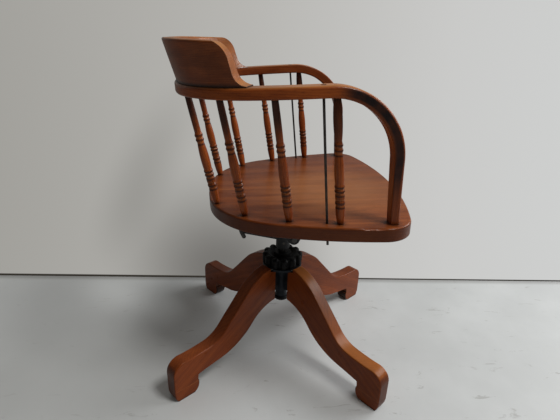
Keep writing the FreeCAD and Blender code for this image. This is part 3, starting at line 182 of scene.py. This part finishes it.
class Finish:
    """The node tree of one material, or of the room's light."""

    def __init__(self, owner, end="OutputMaterial"):
        owner.use_nodes = True
        self.owner = owner
        self.tree = owner.node_tree
        self.tree.nodes.clear()
        self.end = self.tree.nodes.new("ShaderNode" + end)

    def node(self, kind, settings=None, inputs=None, out=0):
        """Adds a node, sets it up, feeds its sockets and gives one of its outputs."""
        made = self.tree.nodes.new("ShaderNode" + kind)
        for name, value in (settings or {}).items():
            if name == "stops":
                self.set_stops(made.color_ramp, value)
            else:
                setattr(made, name, value)
        for name, value in (inputs or {}).items():
            self.feed(made.inputs[name], value)
        return Wire(self, made.outputs[out])

    @staticmethod
    def set_stops(ramp, stops):
        while len(ramp.elements) < len(stops):
            ramp.elements.new(0.5)
        for element, (position, tone) in zip(ramp.elements, stops):
            element.position = position
            element.color = (*tone, 1.0) if isinstance(tone, tuple) else (tone, tone, tone, 1.0)

    def feed(self, socket, value):
        if isinstance(value, Wire):
            self.tree.links.new(value.socket, socket)
        elif isinstance(value, tuple) and socket.type == "RGBA":
            socket.default_value = (*value, 1.0)
        else:
            socket.default_value = value

    def place(self):
        """The point in the piece's own metres, so that marks move with the piece."""
        return self.node("TexCoord", out="Object")

    def split(self, vector):
        """A vector's x, y and z."""
        parts = self.node("SeparateXYZ", inputs={"Vector": vector})
        return parts, parts.at("Y"), parts.at("Z")

    def join(self, x, y, z):
        return self.node("CombineXYZ", inputs={"X": x, "Y": y, "Z": z})

    def noise(self, vector, scale, detail=2.0, roughness=0.5, distortion=0.0):
        inputs = {
            "Vector": vector,
            "Scale": scale,
            "Detail": detail,
            "Roughness": roughness,
            "Distortion": distortion,
        }
        return self.node("TexNoise", inputs=inputs)

    def smooth(self, value, low, high, first=0.0, last=1.0):
        """A soft step from first to last as the value goes from low to high."""
        inputs = {"Value": value, "From Min": low, "From Max": high, "To Min": first, "To Max": last}
        return self.node("MapRange", {"interpolation_type": "SMOOTHSTEP"}, inputs)

    def mix(self, share, first, second):
        """One colour going over into another. A colour Mix has these sockets by number only."""
        return self.node("Mix", {"data_type": "RGBA"}, {0: share, 6: first, 7: second}, out=2)

    def ramp(self, value, stops):
        return self.node("ValToRGB", {"stops": stops}, {"Fac": value})

    def vector_maths(self, operation, *vectors, out="Vector"):
        return self.node("VectorMath", {"operation": operation}, dict(enumerate(vectors)), out)

    def along(self, vector, way):
        """How far the vector reaches along a direction."""
        return self.vector_maths("DOT_PRODUCT", vector, way, out="Value")

    def bump(self, height, depth, strength, normal=None):
        inputs = {"Height": height, "Distance": depth, "Strength": strength}
        if normal is not None:
            inputs["Normal"] = normal
        return self.node("Bump", inputs=inputs)

    def edge_band(self, reach):
        """Near 1 where two faces meet within reach, 0 on open faces."""
        rounded = self.node("Bevel", {"samples": 6}, {"Radius": reach})
        plain = self.node("NewGeometry", out="Normal")
        return self.smooth(1.0 - self.along(rounded, plain), 0.03, 0.22)

    def hollow(self, reach):
        """Near 1 in grooves and where pieces meet, 0 on open faces."""
        openness = self.node("AmbientOcclusion", {"samples": 6}, {"Distance": reach}, out="AO")
        return self.smooth(openness, 0.50, 0.96, 1.0, 0.0)

    def turned(self):
        """The way the face is turned, in the piece's own directions."""
        return self.node("TexCoord", out="Normal")

    def facing(self, way, low, high):
        """1 on faces turned one way, 0 on the rest."""
        return self.smooth(self.along(self.turned(), way), low, high)

    def near(self, place, point, inner, outer):
        """1 within the inner radius of a point, falling to 0 at the outer."""
        gap = self.vector_maths("DISTANCE", place, point, out="Value")
        return self.smooth(gap, inner, outer, 1.0, 0.0)

    def close(self, shader):
        """Leads a shader to the tree's end."""
        self.feed(self.end.inputs["Surface"], shader)
        return self.owner

    def surface(self, shine, **sockets):
        """Closes the tree with a Principled shader. Underscores in names stand for spaces."""
        inputs = {name.replace("_", " ").title(): value for name, value in sockets.items()}
        inputs["IOR"] = shine
        return self.close(self.node("BsdfPrincipled", inputs=inputs))


# Wood grain


def board_grain(way, up):
    """Straight grain along one direction."""
    length = Vector(way).normalized()
    height = Vector(up)
    height = (height - length * height.dot(length)).normalized()
    width = length.cross(height)

    def grain(finish, place):
        return [finish.along(place, tuple(axis)) for axis in (length, width, height)]

    return grain


def corner_run(across, ahead, radius):
    """Distance from a corner's middle and the run round it, for stock bent by a quarter."""
    side = across.above(0.0)
    front = ahead.above(0.0)
    distance = (side * side + front * front).root()
    run = side.angle_from(front) * radius
    return distance, run


def bow_grain(finish, place):
    """Grain that follows the bent bow round the back and down the arm posts."""
    x, y, z = finish.split(place)
    side = abs(x)
    plan, back_run = corner_run(side - CORNER_X, y - CORNER_Y, CORNER_RADIUS)
    drop, bend_run = corner_run(BEND_Y - y, z - BEND_Z, BEND_RADIUS)
    back_middle = (CORNER_X - side).above(0.0)
    arm = (CORNER_Y - y).above(0.0).below(CORNER_Y - BEND_Y)
    post = (BEND_Z - z).above(0.0)
    return back_run + bend_run - back_middle + arm + post, plan, drop


def crest_grain(finish, place):
    """Grain that follows the crest's curve."""
    x, y, z = finish.split(place)
    side = abs(x)
    plan, run = corner_run(side - CORNER_X, y - CORNER_Y, CORNER_RADIUS)
    return run - (CORNER_X - side).above(0.0), plan, z


def wood(
    name, grain, tones, seed, ring_pitch=0.0045, band=60.0, edge_wear_and_highlight=0.35, gloss=0.27,
    top=0.0, top_tone=WORN_AND_HIGHLIGHT, marks=None, reach=0.006,
):
    """Varnished open-grained wood: growth rings, pores, fibres, pale edges and shade painted in
    hollows.

    band is how fine the broad streaks are, wear how pale the edges go, worn and with a painted
    highlight, top how far faces that look up take top_tone as painted light and shade, and reach
    how far painted shade creeps out of the hollows.
    marks adds what this piece alone has to its colour and roughness.
    """
    finish = Finish(bpy.data.materials.new(name))
    place = finish.place()
    length, width, height = grain(finish, place)
    fibre = finish.join(length * 0.06 + seed, width, height)
    # Growth rings bend slowly along the board.
    drift = finish.noise(finish.join(length * 0.35 + seed, width, height), 9.0) - 0.5
    ring_place = width * 0.35 + height + drift * 0.05
    rings = ((ring_place * (2 * math.pi / ring_pitch)).sine() * 0.5 + 0.5) ** 2.2
    bands = finish.noise(fibre, band, detail=3.0, roughness=0.55)
    streaks = finish.noise(fibre, 420.0, detail=3.0, roughness=0.6)
    pores = finish.smooth(finish.noise(fibre, 1500.0, roughness=0.6), 0.56, 0.70)
    cloud = finish.noise(place, 11.0)
    shade = bands * 0.80 + streaks * 0.34 + cloud * 0.30 - 0.22 - rings * 0.10
    colour = finish.mix(pores * 0.50, finish.ramp(shade, tones), GRIME_AND_SHADE)
    # Faces that look up take painted light and shade; on the bow and crest also worn varnish.
    if top:
        colour = finish.mix(finish.facing(UPWARD, 0.45, 0.95) * top, colour, top_tone)
    # Edges go pale: wear together with a painted highlight.
    rub = finish.smooth(finish.noise(place, 45.0, detail=3.0), 0.22, 0.80)
    rounded = finish.edge_band(WOOD_EDGE)
    colour = finish.mix(rounded * rub * edge_wear_and_highlight, colour, WORN_AND_HIGHLIGHT)
    dull = finish.noise(place, 26.0, detail=3.0)
    roughness = dull * 0.22 + gloss - 0.06 + pores * 0.12
    if marks is not None:
        colour, roughness = marks(finish, place, colour, roughness)
    # Grooves and places where pieces meet go darker: painted shade.
    hollow = finish.hollow(reach)
    colour = finish.mix(hollow * 0.85, colour, GRIME_AND_SHADE)
    raised_grain = finish.bump(streaks * 0.35 - pores * 0.9 + bands * 0.3, 0.00007, 0.55)
    dents = finish.bump(finish.noise(place, 70.0), 0.0005, 0.25, raised_grain)
    return finish.surface(
        1.23,
        base_color=colour,
        roughness=roughness + hollow * 0.15,
        coat_weight=rounded * 0.40 + 0.10,
        coat_roughness=0.14,
        normal=dents,
    )


# Marks that single pieces have


def seat_marks(finish, place, colour, roughness):
    """A paler sat-on place, darker streaks, and a darker back, far side and rim."""
    x, y, z = finish.split(place)
    worn = finish.near(place, (-0.04, -0.10, SEAT_TOP), 0.05, 0.24)
    colour = finish.mix(worn * 0.34, colour, SEAT_WORN)
    streaks = finish.smooth(finish.noise(finish.join(x, y * 0.12, 0.0), 17.0), 0.50, 0.64)
    rear = finish.smooth(y, -0.12, 0.06)
    colour = finish.mix(streaks * (rear * 0.26 + 0.16) + rear * 0.20, colour, SEAT_STREAK)
    far_side = finish.smooth(x, 0.03, 0.20)
    colour = finish.mix(far_side * 0.24, colour, SEAT_FAR_SIDE)
    # Faces that don't look up, the rim, go darker: painted shade together with old polish.
    flat = finish.facing(UPWARD, 0.25, 0.80)
    colour = finish.mix((1.0 - flat) * 0.68, colour, POLISH_AND_SHADE)
    return colour, roughness + worn * 0.05


def bow_marks(finish, place, colour, roughness):
    """Patches that hands blackened on the bends, a haze on the posts, and old polish."""
    x, y, z = finish.split(place)
    normal_x, normal_y, normal_z = finish.split(finish.turned())
    outward = normal_x * x
    outer = finish.smooth(outward, 0.13, 0.22)
    # The blackened patch lies on the bend's outer face and leaves its worn rim paler.
    ahead = (BEND_Y - y).above(0.0)
    over = (z - BEND_Z).above(0.0)
    reach = (ahead * ahead + over * over).root()
    inside = finish.smooth(reach, BEND_RADIUS - 0.012, BEND_RADIUS - 0.004)
    rim = finish.smooth(reach, BEND_RADIUS + 0.006, BEND_RADIUS + 0.009, 1.0, 0.25)
    high = finish.smooth(z, 0.500, 0.590)
    ahead_of_rail = finish.smooth(y, -0.085, -0.045, 1.0, 0.0)
    patchy = finish.smooth(finish.noise(place, 38.0, detail=3.0), 0.30, 0.62)
    stain = outer * inside * rim * high * ahead_of_rail * (patchy * 0.12 + 0.88)
    colour = finish.mix(stain, colour, HAND_BLACK)
    # The post below the bend keeps a brown haze on its outer face.
    haze = outer * finish.smooth(y, -0.150, -0.120, 1.0, 0.0) * finish.smooth(z, 0.60, 0.70, 1.0, 0.0)
    colour = finish.mix(haze * 0.32, colour, POST_HAZE)
    # Polish built up on the inner faces and on top of the rail at the back.
    inner = finish.smooth(outward, -0.18, -0.05, 1.0, 0.0)
    behind = finish.smooth(y, 0.00, 0.14) * finish.smooth(normal_z, 0.45, 0.95)
    colour = finish.mix((inner * 0.42 + behind * 0.50).below(0.6), colour, POLISH_AND_SHADE)
    return colour, roughness + stain * 0.1


def crest_marks(finish, place, colour, roughness):
    """A duller back, painted light on the hollow side, and painted shade where the crest meets the
    bow.
    """
    x, y, z = finish.split(place)
    cloud = finish.smooth(finish.noise(place, 16.0, detail=3.0), 0.35, 0.65)
    back = finish.facing(BACKWARD, -0.6, 0.3)
    colour = finish.mix(back * (cloud * 0.25 + 0.20), colour, CREST_BACK)
    # The hollow side, turned forward to the window, is paler: painted light.
    lit_front = finish.facing(FORWARD, -0.2, 0.5)
    colour = finish.mix(lit_front * 0.32, colour, CREST_FRONT_LIGHT)
    # Painted shade along the crest's foot, where it meets the bow.
    foot = finish.smooth(z + y * RAIL_FALL, CREST_FOOT + 0.001, CREST_FOOT + 0.010, 1.0, 0.0)
    foot = foot * (1.0 - finish.facing(UPWARD, 0.15, 0.50))
    colour = finish.mix(foot * 0.80, colour, GRIME_AND_SHADE)
    return colour, roughness


def ring_stops(places, reach):
    """Ramp stops that rise to 1 at each place and fall to 0 beside it."""
    stops = []
    for place in places:
        stops += [(place - reach, 0.0), (place, 1.0), (place + reach, 0.0)]
    return stops


def turned_marks(middle, axis, free_length, head_depth, head_share):
    """Painted shade in the turned grooves, a darker head, and golden beads with a painted highlight.
    """

    def marks(finish, place, colour, roughness):
        from_middle = finish.along(place, tuple(axis)) - middle.dot(axis)
        run = (from_middle + (FOOT_DEPTH - HEAD_DEPTH) / 2) / free_length + 0.5
        # The beads go golden: a painted highlight together with wear.
        beads = finish.ramp(run, ring_stops(BEADS, BEAD_REACH))
        colour = finish.mix(beads * 0.22, colour, WORN_AND_HIGHLIGHT)
        beaded = finish.smooth(run, 0.150, 0.175) * finish.smooth(run, 0.335, 0.365, 1.0, 0.0)
        colour = finish.mix(beaded * 0.30, colour, BEADED_POLISH)
        # The turned grooves go nearly black: painted shade.
        grooves = finish.ramp(run, ring_stops(GROOVES, GROOVE_REACH))
        colour = finish.mix(grooves * 0.90, colour, GROOVE_SHADE)
        # Darker towards the head, just under the bow.
        # Noise makes the lower edge of the head's black ragged. The end allows for its mean.
        raggedness = 0.12
        ragged_run = run + finish.noise(place, 40.0) * raggedness
        end = 1.0 + raggedness / 2
        head = finish.smooth(ragged_run, end - head_depth, end - head_depth * 0.35)
        colour = finish.mix(head * head_share, colour, HEAD_BLACK)
        # Darker at the foot, where the spindle goes into the seat: dirt together with painted shade.
        foot = finish.smooth(run, 0.0, 0.045, 1.0, 0.0)
        colour = finish.mix(foot * 0.55, colour, GRIME_AND_SHADE)
        return colour, roughness + grooves * 0.15

    return marks


def leg_marks(way):
    """A leg's outer end drinks more stain; low on its inner faces, dirt with painted shade."""
    inward = tuple(-part for part in way)

    def marks(finish, place, colour, roughness):
        ends = finish.facing(way, 0.70, 0.92)
        colour = finish.mix(ends * 0.55, colour, GRIME_AND_SHADE)
        x, y, z = finish.split(place)
        # Low on the inner faces, towards the column: dirt together with painted shade.
        inner = finish.facing(inward, 0.20, 0.60) * finish.smooth(z, 0.030, 0.045, 1.0, 0.0)
        colour = finish.mix(inner * 0.94, colour, GRIME_AND_SHADE)
        return colour, roughness + ends * 0.1

    return marks


# Metal


def iron(name, base, sheen, metallic, roughness, grit, rust, shine=1.45):
    """Old iron or steel: a dark skin with dull patches, fine pitting and worn edges.

    base and sheen are the skin's darker and brighter tones, and grit is how deep the pits are.
    """
    finish = Finish(bpy.data.materials.new(name))
    place = finish.place()
    patch = finish.noise(place, 34.0, detail=4.0, roughness=0.6)
    colour = finish.mix(finish.smooth(patch, 0.36, 0.66), base, sheen)
    specks = finish.smooth(finish.noise(place, 260.0, detail=3.0, roughness=0.7), 0.58, 0.72)
    colour = finish.mix(specks * rust, colour, RUST)
    edges = finish.edge_band(IRON_EDGE)
    bare = tuple(min(1.0, 2.4 * part + 0.015) for part in sheen)
    colour = finish.mix(edges * 0.40, colour, bare)
    pits = finish.bump(finish.noise(place, 420.0, detail=3.0, roughness=0.65), grit, 0.6)
    rough = patch * 0.22 + roughness - 0.11 - edges * 0.08
    return finish.surface(shine, base_color=colour, metallic=metallic, roughness=rough, normal=pits)


# The pieces' finishes


def dress(label, material):
    """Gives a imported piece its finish."""
    for slot in nodes[label].material_slots:
        slot.material = material


def dress_seat_and_back():
    seat = wood(
        "seat_oak", board_grain(BACKWARD, UPWARD), SEAT_OAK, 1.3,
        ring_pitch=0.006, band=34.0, edge_wear_and_highlight=0.55, marks=seat_marks, reach=0.013,
    )
    dress("seat_board", seat)
    dress("arm_bow", wood("bow_oak", bow_grain, BOW_OAK, 4.1, top=0.46, marks=bow_marks))
    dress("crest_rail", wood("crest_oak", crest_grain, BOW_OAK, 7.7, top=0.45, marks=crest_marks))
    dress("crest_dowels", wood("dowel_birch", board_grain(UPWARD, BACKWARD), BOW_OAK, 2.2))


def leg_way(corner):
    """Plan direction of a leg from the column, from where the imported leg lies."""
    low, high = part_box("leg_" + corner)
    reach = Vector(((low.x + high.x) / 2, (low.y + high.y) / 2, 0.0))
    return reach.normalized()


def dress_legs():
    """Each leg and the block under its foot, with grain that runs down along the leg."""
    for index, (corner, (top, top_tone)) in enumerate(LEG_TOP_LIGHT_AND_SHADE.items()):
        way = leg_way(corner)
        grain = board_grain((way.x, way.y, -LEG_GRAIN_FALL), UPWARD)
        marks = leg_marks(tuple(way))
        leg = wood(
            "leg_oak_" + corner, grain, LEG_OAK, 11.0 + index,
            edge_wear_and_highlight=0.6, top=top, top_tone=top_tone, marks=marks,
        )
        dress("leg_" + corner, leg)
        block = wood("foot_oak_" + corner, grain, LEG_OAK, 17.0 + index, marks=marks)
        dress("foot_block_" + corner, block)


def dress_spindles():
    """Eight turned spindles, with grain and marks along the lean of each."""
    for index, post in enumerate(("arm", "back", "corner", "side")):
        # The grain and marks of an arm spindle take less of the lean that its box shows.
        back_share = 0.4 if post == "arm" else 1.0
        for side, sign in (("left", 1.0), ("right", -1.0)):
            label = f"spindle_{post}_{side}"
            low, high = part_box(label)
            sideways = (high.x - low.x - SPINDLE_BOX_MARGIN) * sign
            back = (high.y - low.y - SPINDLE_BOX_MARGIN) * back_share
            lean = Vector((sideways, back, high.z - low.z))
            free_length = lean.length - FOOT_DEPTH - HEAD_DEPTH
            head_darkening = RIGHT_ARM_HEAD_DARKENING if label == "spindle_arm_right" else HEAD_DARKENING
            marks = turned_marks((low + high) / 2, lean.normalized(), free_length, *head_darkening)
            turned = wood(
                "turned_" + label, board_grain(lean, BACKWARD), BOW_OAK, 23.0 + index + sign,
                marks=marks, gloss=0.24, reach=0.011,
            )
            dress(label, turned)


def dress_metal():
    black = iron(
        "black_iron", (0.0045, 0.0045, 0.0050), (0.011, 0.011, 0.013),
        metallic=0.20, roughness=0.55, grit=0.0003, rust=0.15,
    )
    wheel = iron(
        "wheel_iron", (0.0022, 0.0021, 0.0022), (0.0050, 0.0048, 0.0050),
        metallic=0.0, roughness=0.52, grit=0.0003, rust=0.05, shine=1.22,
    )
    tube = iron(
        "blued_iron", (0.010, 0.012, 0.015), (0.022, 0.027, 0.034),
        metallic=0.35, roughness=0.55, grit=0.0002, rust=0.10, shine=1.30,
    )
    spring = iron(
        "spring_steel", (0.012, 0.012, 0.013), (0.030, 0.030, 0.033),
        metallic=0.7, roughness=0.40, grit=0.0001, rust=0.2,
    )
    screw = iron(
        "oiled_steel", (0.030, 0.028, 0.026), (0.060, 0.058, 0.055),
        metallic=0.85, roughness=0.36, grit=0.0001, rust=0.2,
    )
    rod = iron(
        "dull_steel", (0.035, 0.030, 0.027), (0.070, 0.062, 0.055),
        metallic=0.8, roughness=0.45, grit=0.0001, rust=0.4,
    )
    bright = iron(
        "worn_steel", (0.12, 0.11, 0.10), (0.24, 0.22, 0.20),
        metallic=0.9, roughness=0.40, grit=0.0001, rust=0.5,
    )
    finishes = {
        wheel: ("handwheel", "hub_bottom_ring"),
        black: ("tilt_yoke", "seat_iron"),
        tube: ("hub_casting",),
        spring: ("tilt_spring_left", "tilt_spring_right"),
        screw: ("screw_spindle", "pivot_rod", "stop_hook", "stop_hook_nut"),
        rod: (
            "tie_rod_left", "tie_rod_right", "tie_rod_nuts", "tie_rod_washers",
            "pivot_rod_pin", "spindle_cross_pin",
        ),
        bright: ("thrust_washer", "seat_iron_screws", "leg_screws", "foot_block_screws"),
    }
    for material, labels in finishes.items():
        for label in labels:
            dress(label, material)


# Camera, at the photograph's place

CAMERA_AT = Vector((-1.0004437, 0.1194147, 0.8164071))
LOOK = Vector((0.91837131, -0.09947704, -0.38301234))
RIGHT = Vector((-0.09390347, -0.99502515, 0.03327283))
UP = Vector((0.38441679, -0.00540938, 0.92314380))
# In millimetres.
SENSOR_WIDTH = 36.0
LENS = 27.22


def make_camera():
    data = bpy.data.cameras.new("photo_camera")
    data.sensor_width = SENSOR_WIDTH
    data.lens = LENS
    data.clip_start = 0.02
    data.clip_end = 200.0
    camera = bpy.data.objects.new("photo_camera", data)
    turn = Matrix((RIGHT, UP, -LOOK)).transposed()
    camera.matrix_world = Matrix.Translation(CAMERA_AT) @ turn.to_4x4()
    bpy.context.scene.collection.objects.link(camera)
    bpy.context.scene.camera = camera


# Wall, painted on the floor beyond its foot and on the room behind

# The wall's foot is the line x = WALL_FOOT_X + WALL_FOOT_SLOPE * y on the floor.
WALL_FOOT_X = 0.3154
WALL_FOOT_SLOPE = 0.0610

# The wall's tones from its left end to the window at its right.
WALL_TONES = [
    (0.20, (0.350, 0.342, 0.318)),
    (0.47, (0.470, 0.462, 0.440)),
    (0.68, (0.588, 0.588, 0.578)),
    (0.80, (0.620, 0.630, 0.625)),
]
WALL_SHADOW = (0.045, 0.040, 0.034)
WALL_JOINT = (0.034, 0.030, 0.024)

# Places on the wall, as y and height: the seat's shadow, and the band that the bow throws.
SEAT_SHADOW = (0.17, 0.03)
BOW_SHADOW = (0.43, 0.37)
# The band's slope, as its shares along y and downward.
BAND_ACROSS = 0.487
BAND_DOWN = 0.873


def gap_to_wall(x, y):
    """How far a floor point lies beyond the wall's foot."""
    return x - y * WALL_FOOT_SLOPE - WALL_FOOT_X


def wall_tone(finish, direction):
    """The wall's colour, paler towards the window on the chair's front side."""
    swing = finish.along(direction, tuple(RIGHT))
    return finish.ramp(swing * 0.5 + 0.5, WALL_TONES)


def shaded_wall(finish, direction):
    """The wall with the chair's soft shadow, along a direction from the photograph's place."""
    x, y, z = finish.split(direction)
    distance = -gap_to_wall(CAMERA_AT.x, CAMERA_AT.y) / (x - y * WALL_FOOT_SLOPE).above(0.05)
    across = y * distance + CAMERA_AT.y
    height = z * distance + CAMERA_AT.z
    under_seat = finish.near(finish.join(across, height, 0.0), (*SEAT_SHADOW, 0.0), 0.03, 0.46)
    across_bow = across - BOW_SHADOW[0]
    above_bow = height - BOW_SHADOW[1]
    along_band = across_bow * BAND_ACROSS - above_bow * BAND_DOWN
    over_band = across_bow * BAND_DOWN + above_bow * BAND_ACROSS
    band = finish.near(finish.join(along_band * 0.30, over_band, 0.0), (0.0, 0.0, 0.0), 0.0, 0.13)
    share = under_seat * 0.66 + band * 0.22
    return finish.mix(share, wall_tone(finish, direction), WALL_SHADOW)


# Floor

FLOOR_REACH = 40.0
SCREED_DARK = (0.535, 0.550, 0.548)
SCREED_PALE = (0.605, 0.622, 0.620)
SCUFF = (0.26, 0.25, 0.235)
GRIT = (0.42, 0.43, 0.42)
PAINTED_FLOOR_LIGHT = (0.700, 0.715, 0.705)
WALL_FOOT_SHADE = (0.12, 0.11, 0.10)


def painted_screed(finish, place, gap):
    """Soft clouds, fine grit and a few scuffs, painted light towards +Y, painted shade at the wall."""
    x, y, z = finish.split(place)
    cloud = finish.noise(place, 3.2, detail=4.0, roughness=0.6)
    grit = finish.noise(place, 260.0, roughness=0.6)
    scuff = finish.noise(finish.join(x, y * 0.35, z), 34.0, detail=6.0, roughness=0.72, distortion=0.8)
    paint = finish.mix(finish.smooth(cloud, 0.3, 0.7), SCREED_DARK, SCREED_PALE)
    paint = finish.mix(finish.smooth(scuff, 0.605, 0.69) * 0.50, paint, SCUFF)
    paint = finish.mix(grit * 0.10, paint, GRIT)
    # Paler towards +Y, the chair's back: painted light.
    paint = finish.mix(finish.smooth(y, 0.10, 0.65) * 0.6, paint, PAINTED_FLOOR_LIGHT)
    # Darker in a band before the wall's foot: painted shade.
    paint = finish.mix(finish.smooth(gap, -0.030, -0.004) * 0.45, paint, WALL_FOOT_SHADE)
    normal = finish.bump(cloud * 0.6 + grit * 0.2, 0.0015, 0.25)
    inputs = {"Base Color": paint, "Roughness": cloud * 0.2 + 0.45, "Normal": normal}
    return finish.node("BsdfPrincipled", inputs=inputs)


def floor_finish():
    """Painted screed that takes the wall's flat tone beyond the wall's foot, for camera rays."""
    finish = Finish(bpy.data.materials.new("painted_floor"))
    place = finish.place()
    x, y, z = finish.split(place)
    gap = gap_to_wall(x, y)
    screed = painted_screed(finish, place, gap)
    away = finish.vector_maths("SUBTRACT", place, tuple(CAMERA_AT))
    tone = shaded_wall(finish, finish.vector_maths("NORMALIZE", away))
    # A dark joint runs along the wall's foot and is wider at the photograph's left.
    joint_width = finish.smooth(y, -0.6, 0.5, 0.009, 0.014)
    tone = finish.mix(finish.smooth(gap / joint_width, 0.75, 1.15), WALL_JOINT, tone)
    wall = finish.node("Emission", inputs={"Color": tone})
    camera = finish.node("LightPath", out="Is Camera Ray")
    beyond = finish.smooth(gap, -0.0005, 0.0005) * camera
    return finish.close(finish.node("MixShader", inputs={0: beyond, 1: screed, 2: wall}))


def make_floor():
    mesh = bpy.data.meshes.new("floor")
    corners = [(x * FLOOR_REACH, y * FLOOR_REACH, 0) for x, y in ((-1, -1), (1, -1), (1, 1), (-1, 1))]
    mesh.from_pydata(corners, [], [(0, 1, 2, 3)])
    floor = bpy.data.objects.new("floor", mesh)
    mesh.materials.append(floor_finish())
    bpy.context.scene.collection.objects.link(floor)


# Light

WINDOW_WAY = (-0.3, -0.9, 0.3)
ROOM_DIM = (0.060, 0.056, 0.052)
ROOM_LIT = (0.200, 0.190, 0.178)
WALL_DIM = (0.03, 0.03, 0.03)


def room_fill(finish, direction):
    """Light of the room: the pale wall ahead, and the dimmer room behind the camera."""
    ahead = finish.smooth(finish.along(direction, (LOOK.x, LOOK.y, 0.0)), -0.6, 0.6)
    window_side = finish.smooth(finish.along(direction, WINDOW_WAY), -0.5, 0.9)
    behind = finish.mix(window_side, ROOM_DIM, ROOM_LIT)
    return finish.mix(ahead, behind, finish.mix(0.45, wall_tone(finish, direction), WALL_DIM))


def make_world():
    world = bpy.data.worlds.new("room")
    bpy.context.scene.world = world
    finish = Finish(world, "OutputWorld")
    direction = finish.node("TexCoord", out="Generated")
    shown = finish.node("Background", inputs={"Color": shaded_wall(finish, direction)})
    fill = finish.node("Background", inputs={"Color": room_fill(finish, direction)})
    camera = finish.node("LightPath", out="Is Camera Ray")
    finish.close(finish.node("MixShader", inputs={0: camera, 1: fill, 2: shown}))


def area_light(name, place, target, width, height, power, tint):
    """A lamp that faces its target."""
    data = bpy.data.lights.new(name, "AREA")
    data.shape = "RECTANGLE"
    data.size = width
    data.size_y = height
    data.energy = power
    data.color = tint
    light = bpy.data.objects.new(name, data)
    light.location = place
    light.rotation_euler = (Vector(target) - Vector(place)).to_track_quat("-Z", "Y").to_euler()
    bpy.context.scene.collection.objects.link(light)


def make_lights():
    area_light(
        "skylight", place=(-1.0, -1.15, 2.8), target=(0.0, 0.0, 0.35),
        width=0.7, height=0.7, power=38.0, tint=(1.0, 0.99, 0.97),
    )
    area_light(
        "window", place=(0.5, -2.4, 1.8), target=(0.0, 0.0, 0.45),
        width=1.8, height=1.4, power=45.0, tint=(0.98, 0.99, 1.0),
    )


make_camera()
dress_seat_and_back()
dress_legs()
dress_spindles()
dress_metal()
make_floor()
make_world()
make_lights()
bpy.context.scene.view_settings.view_transform = "Standard"
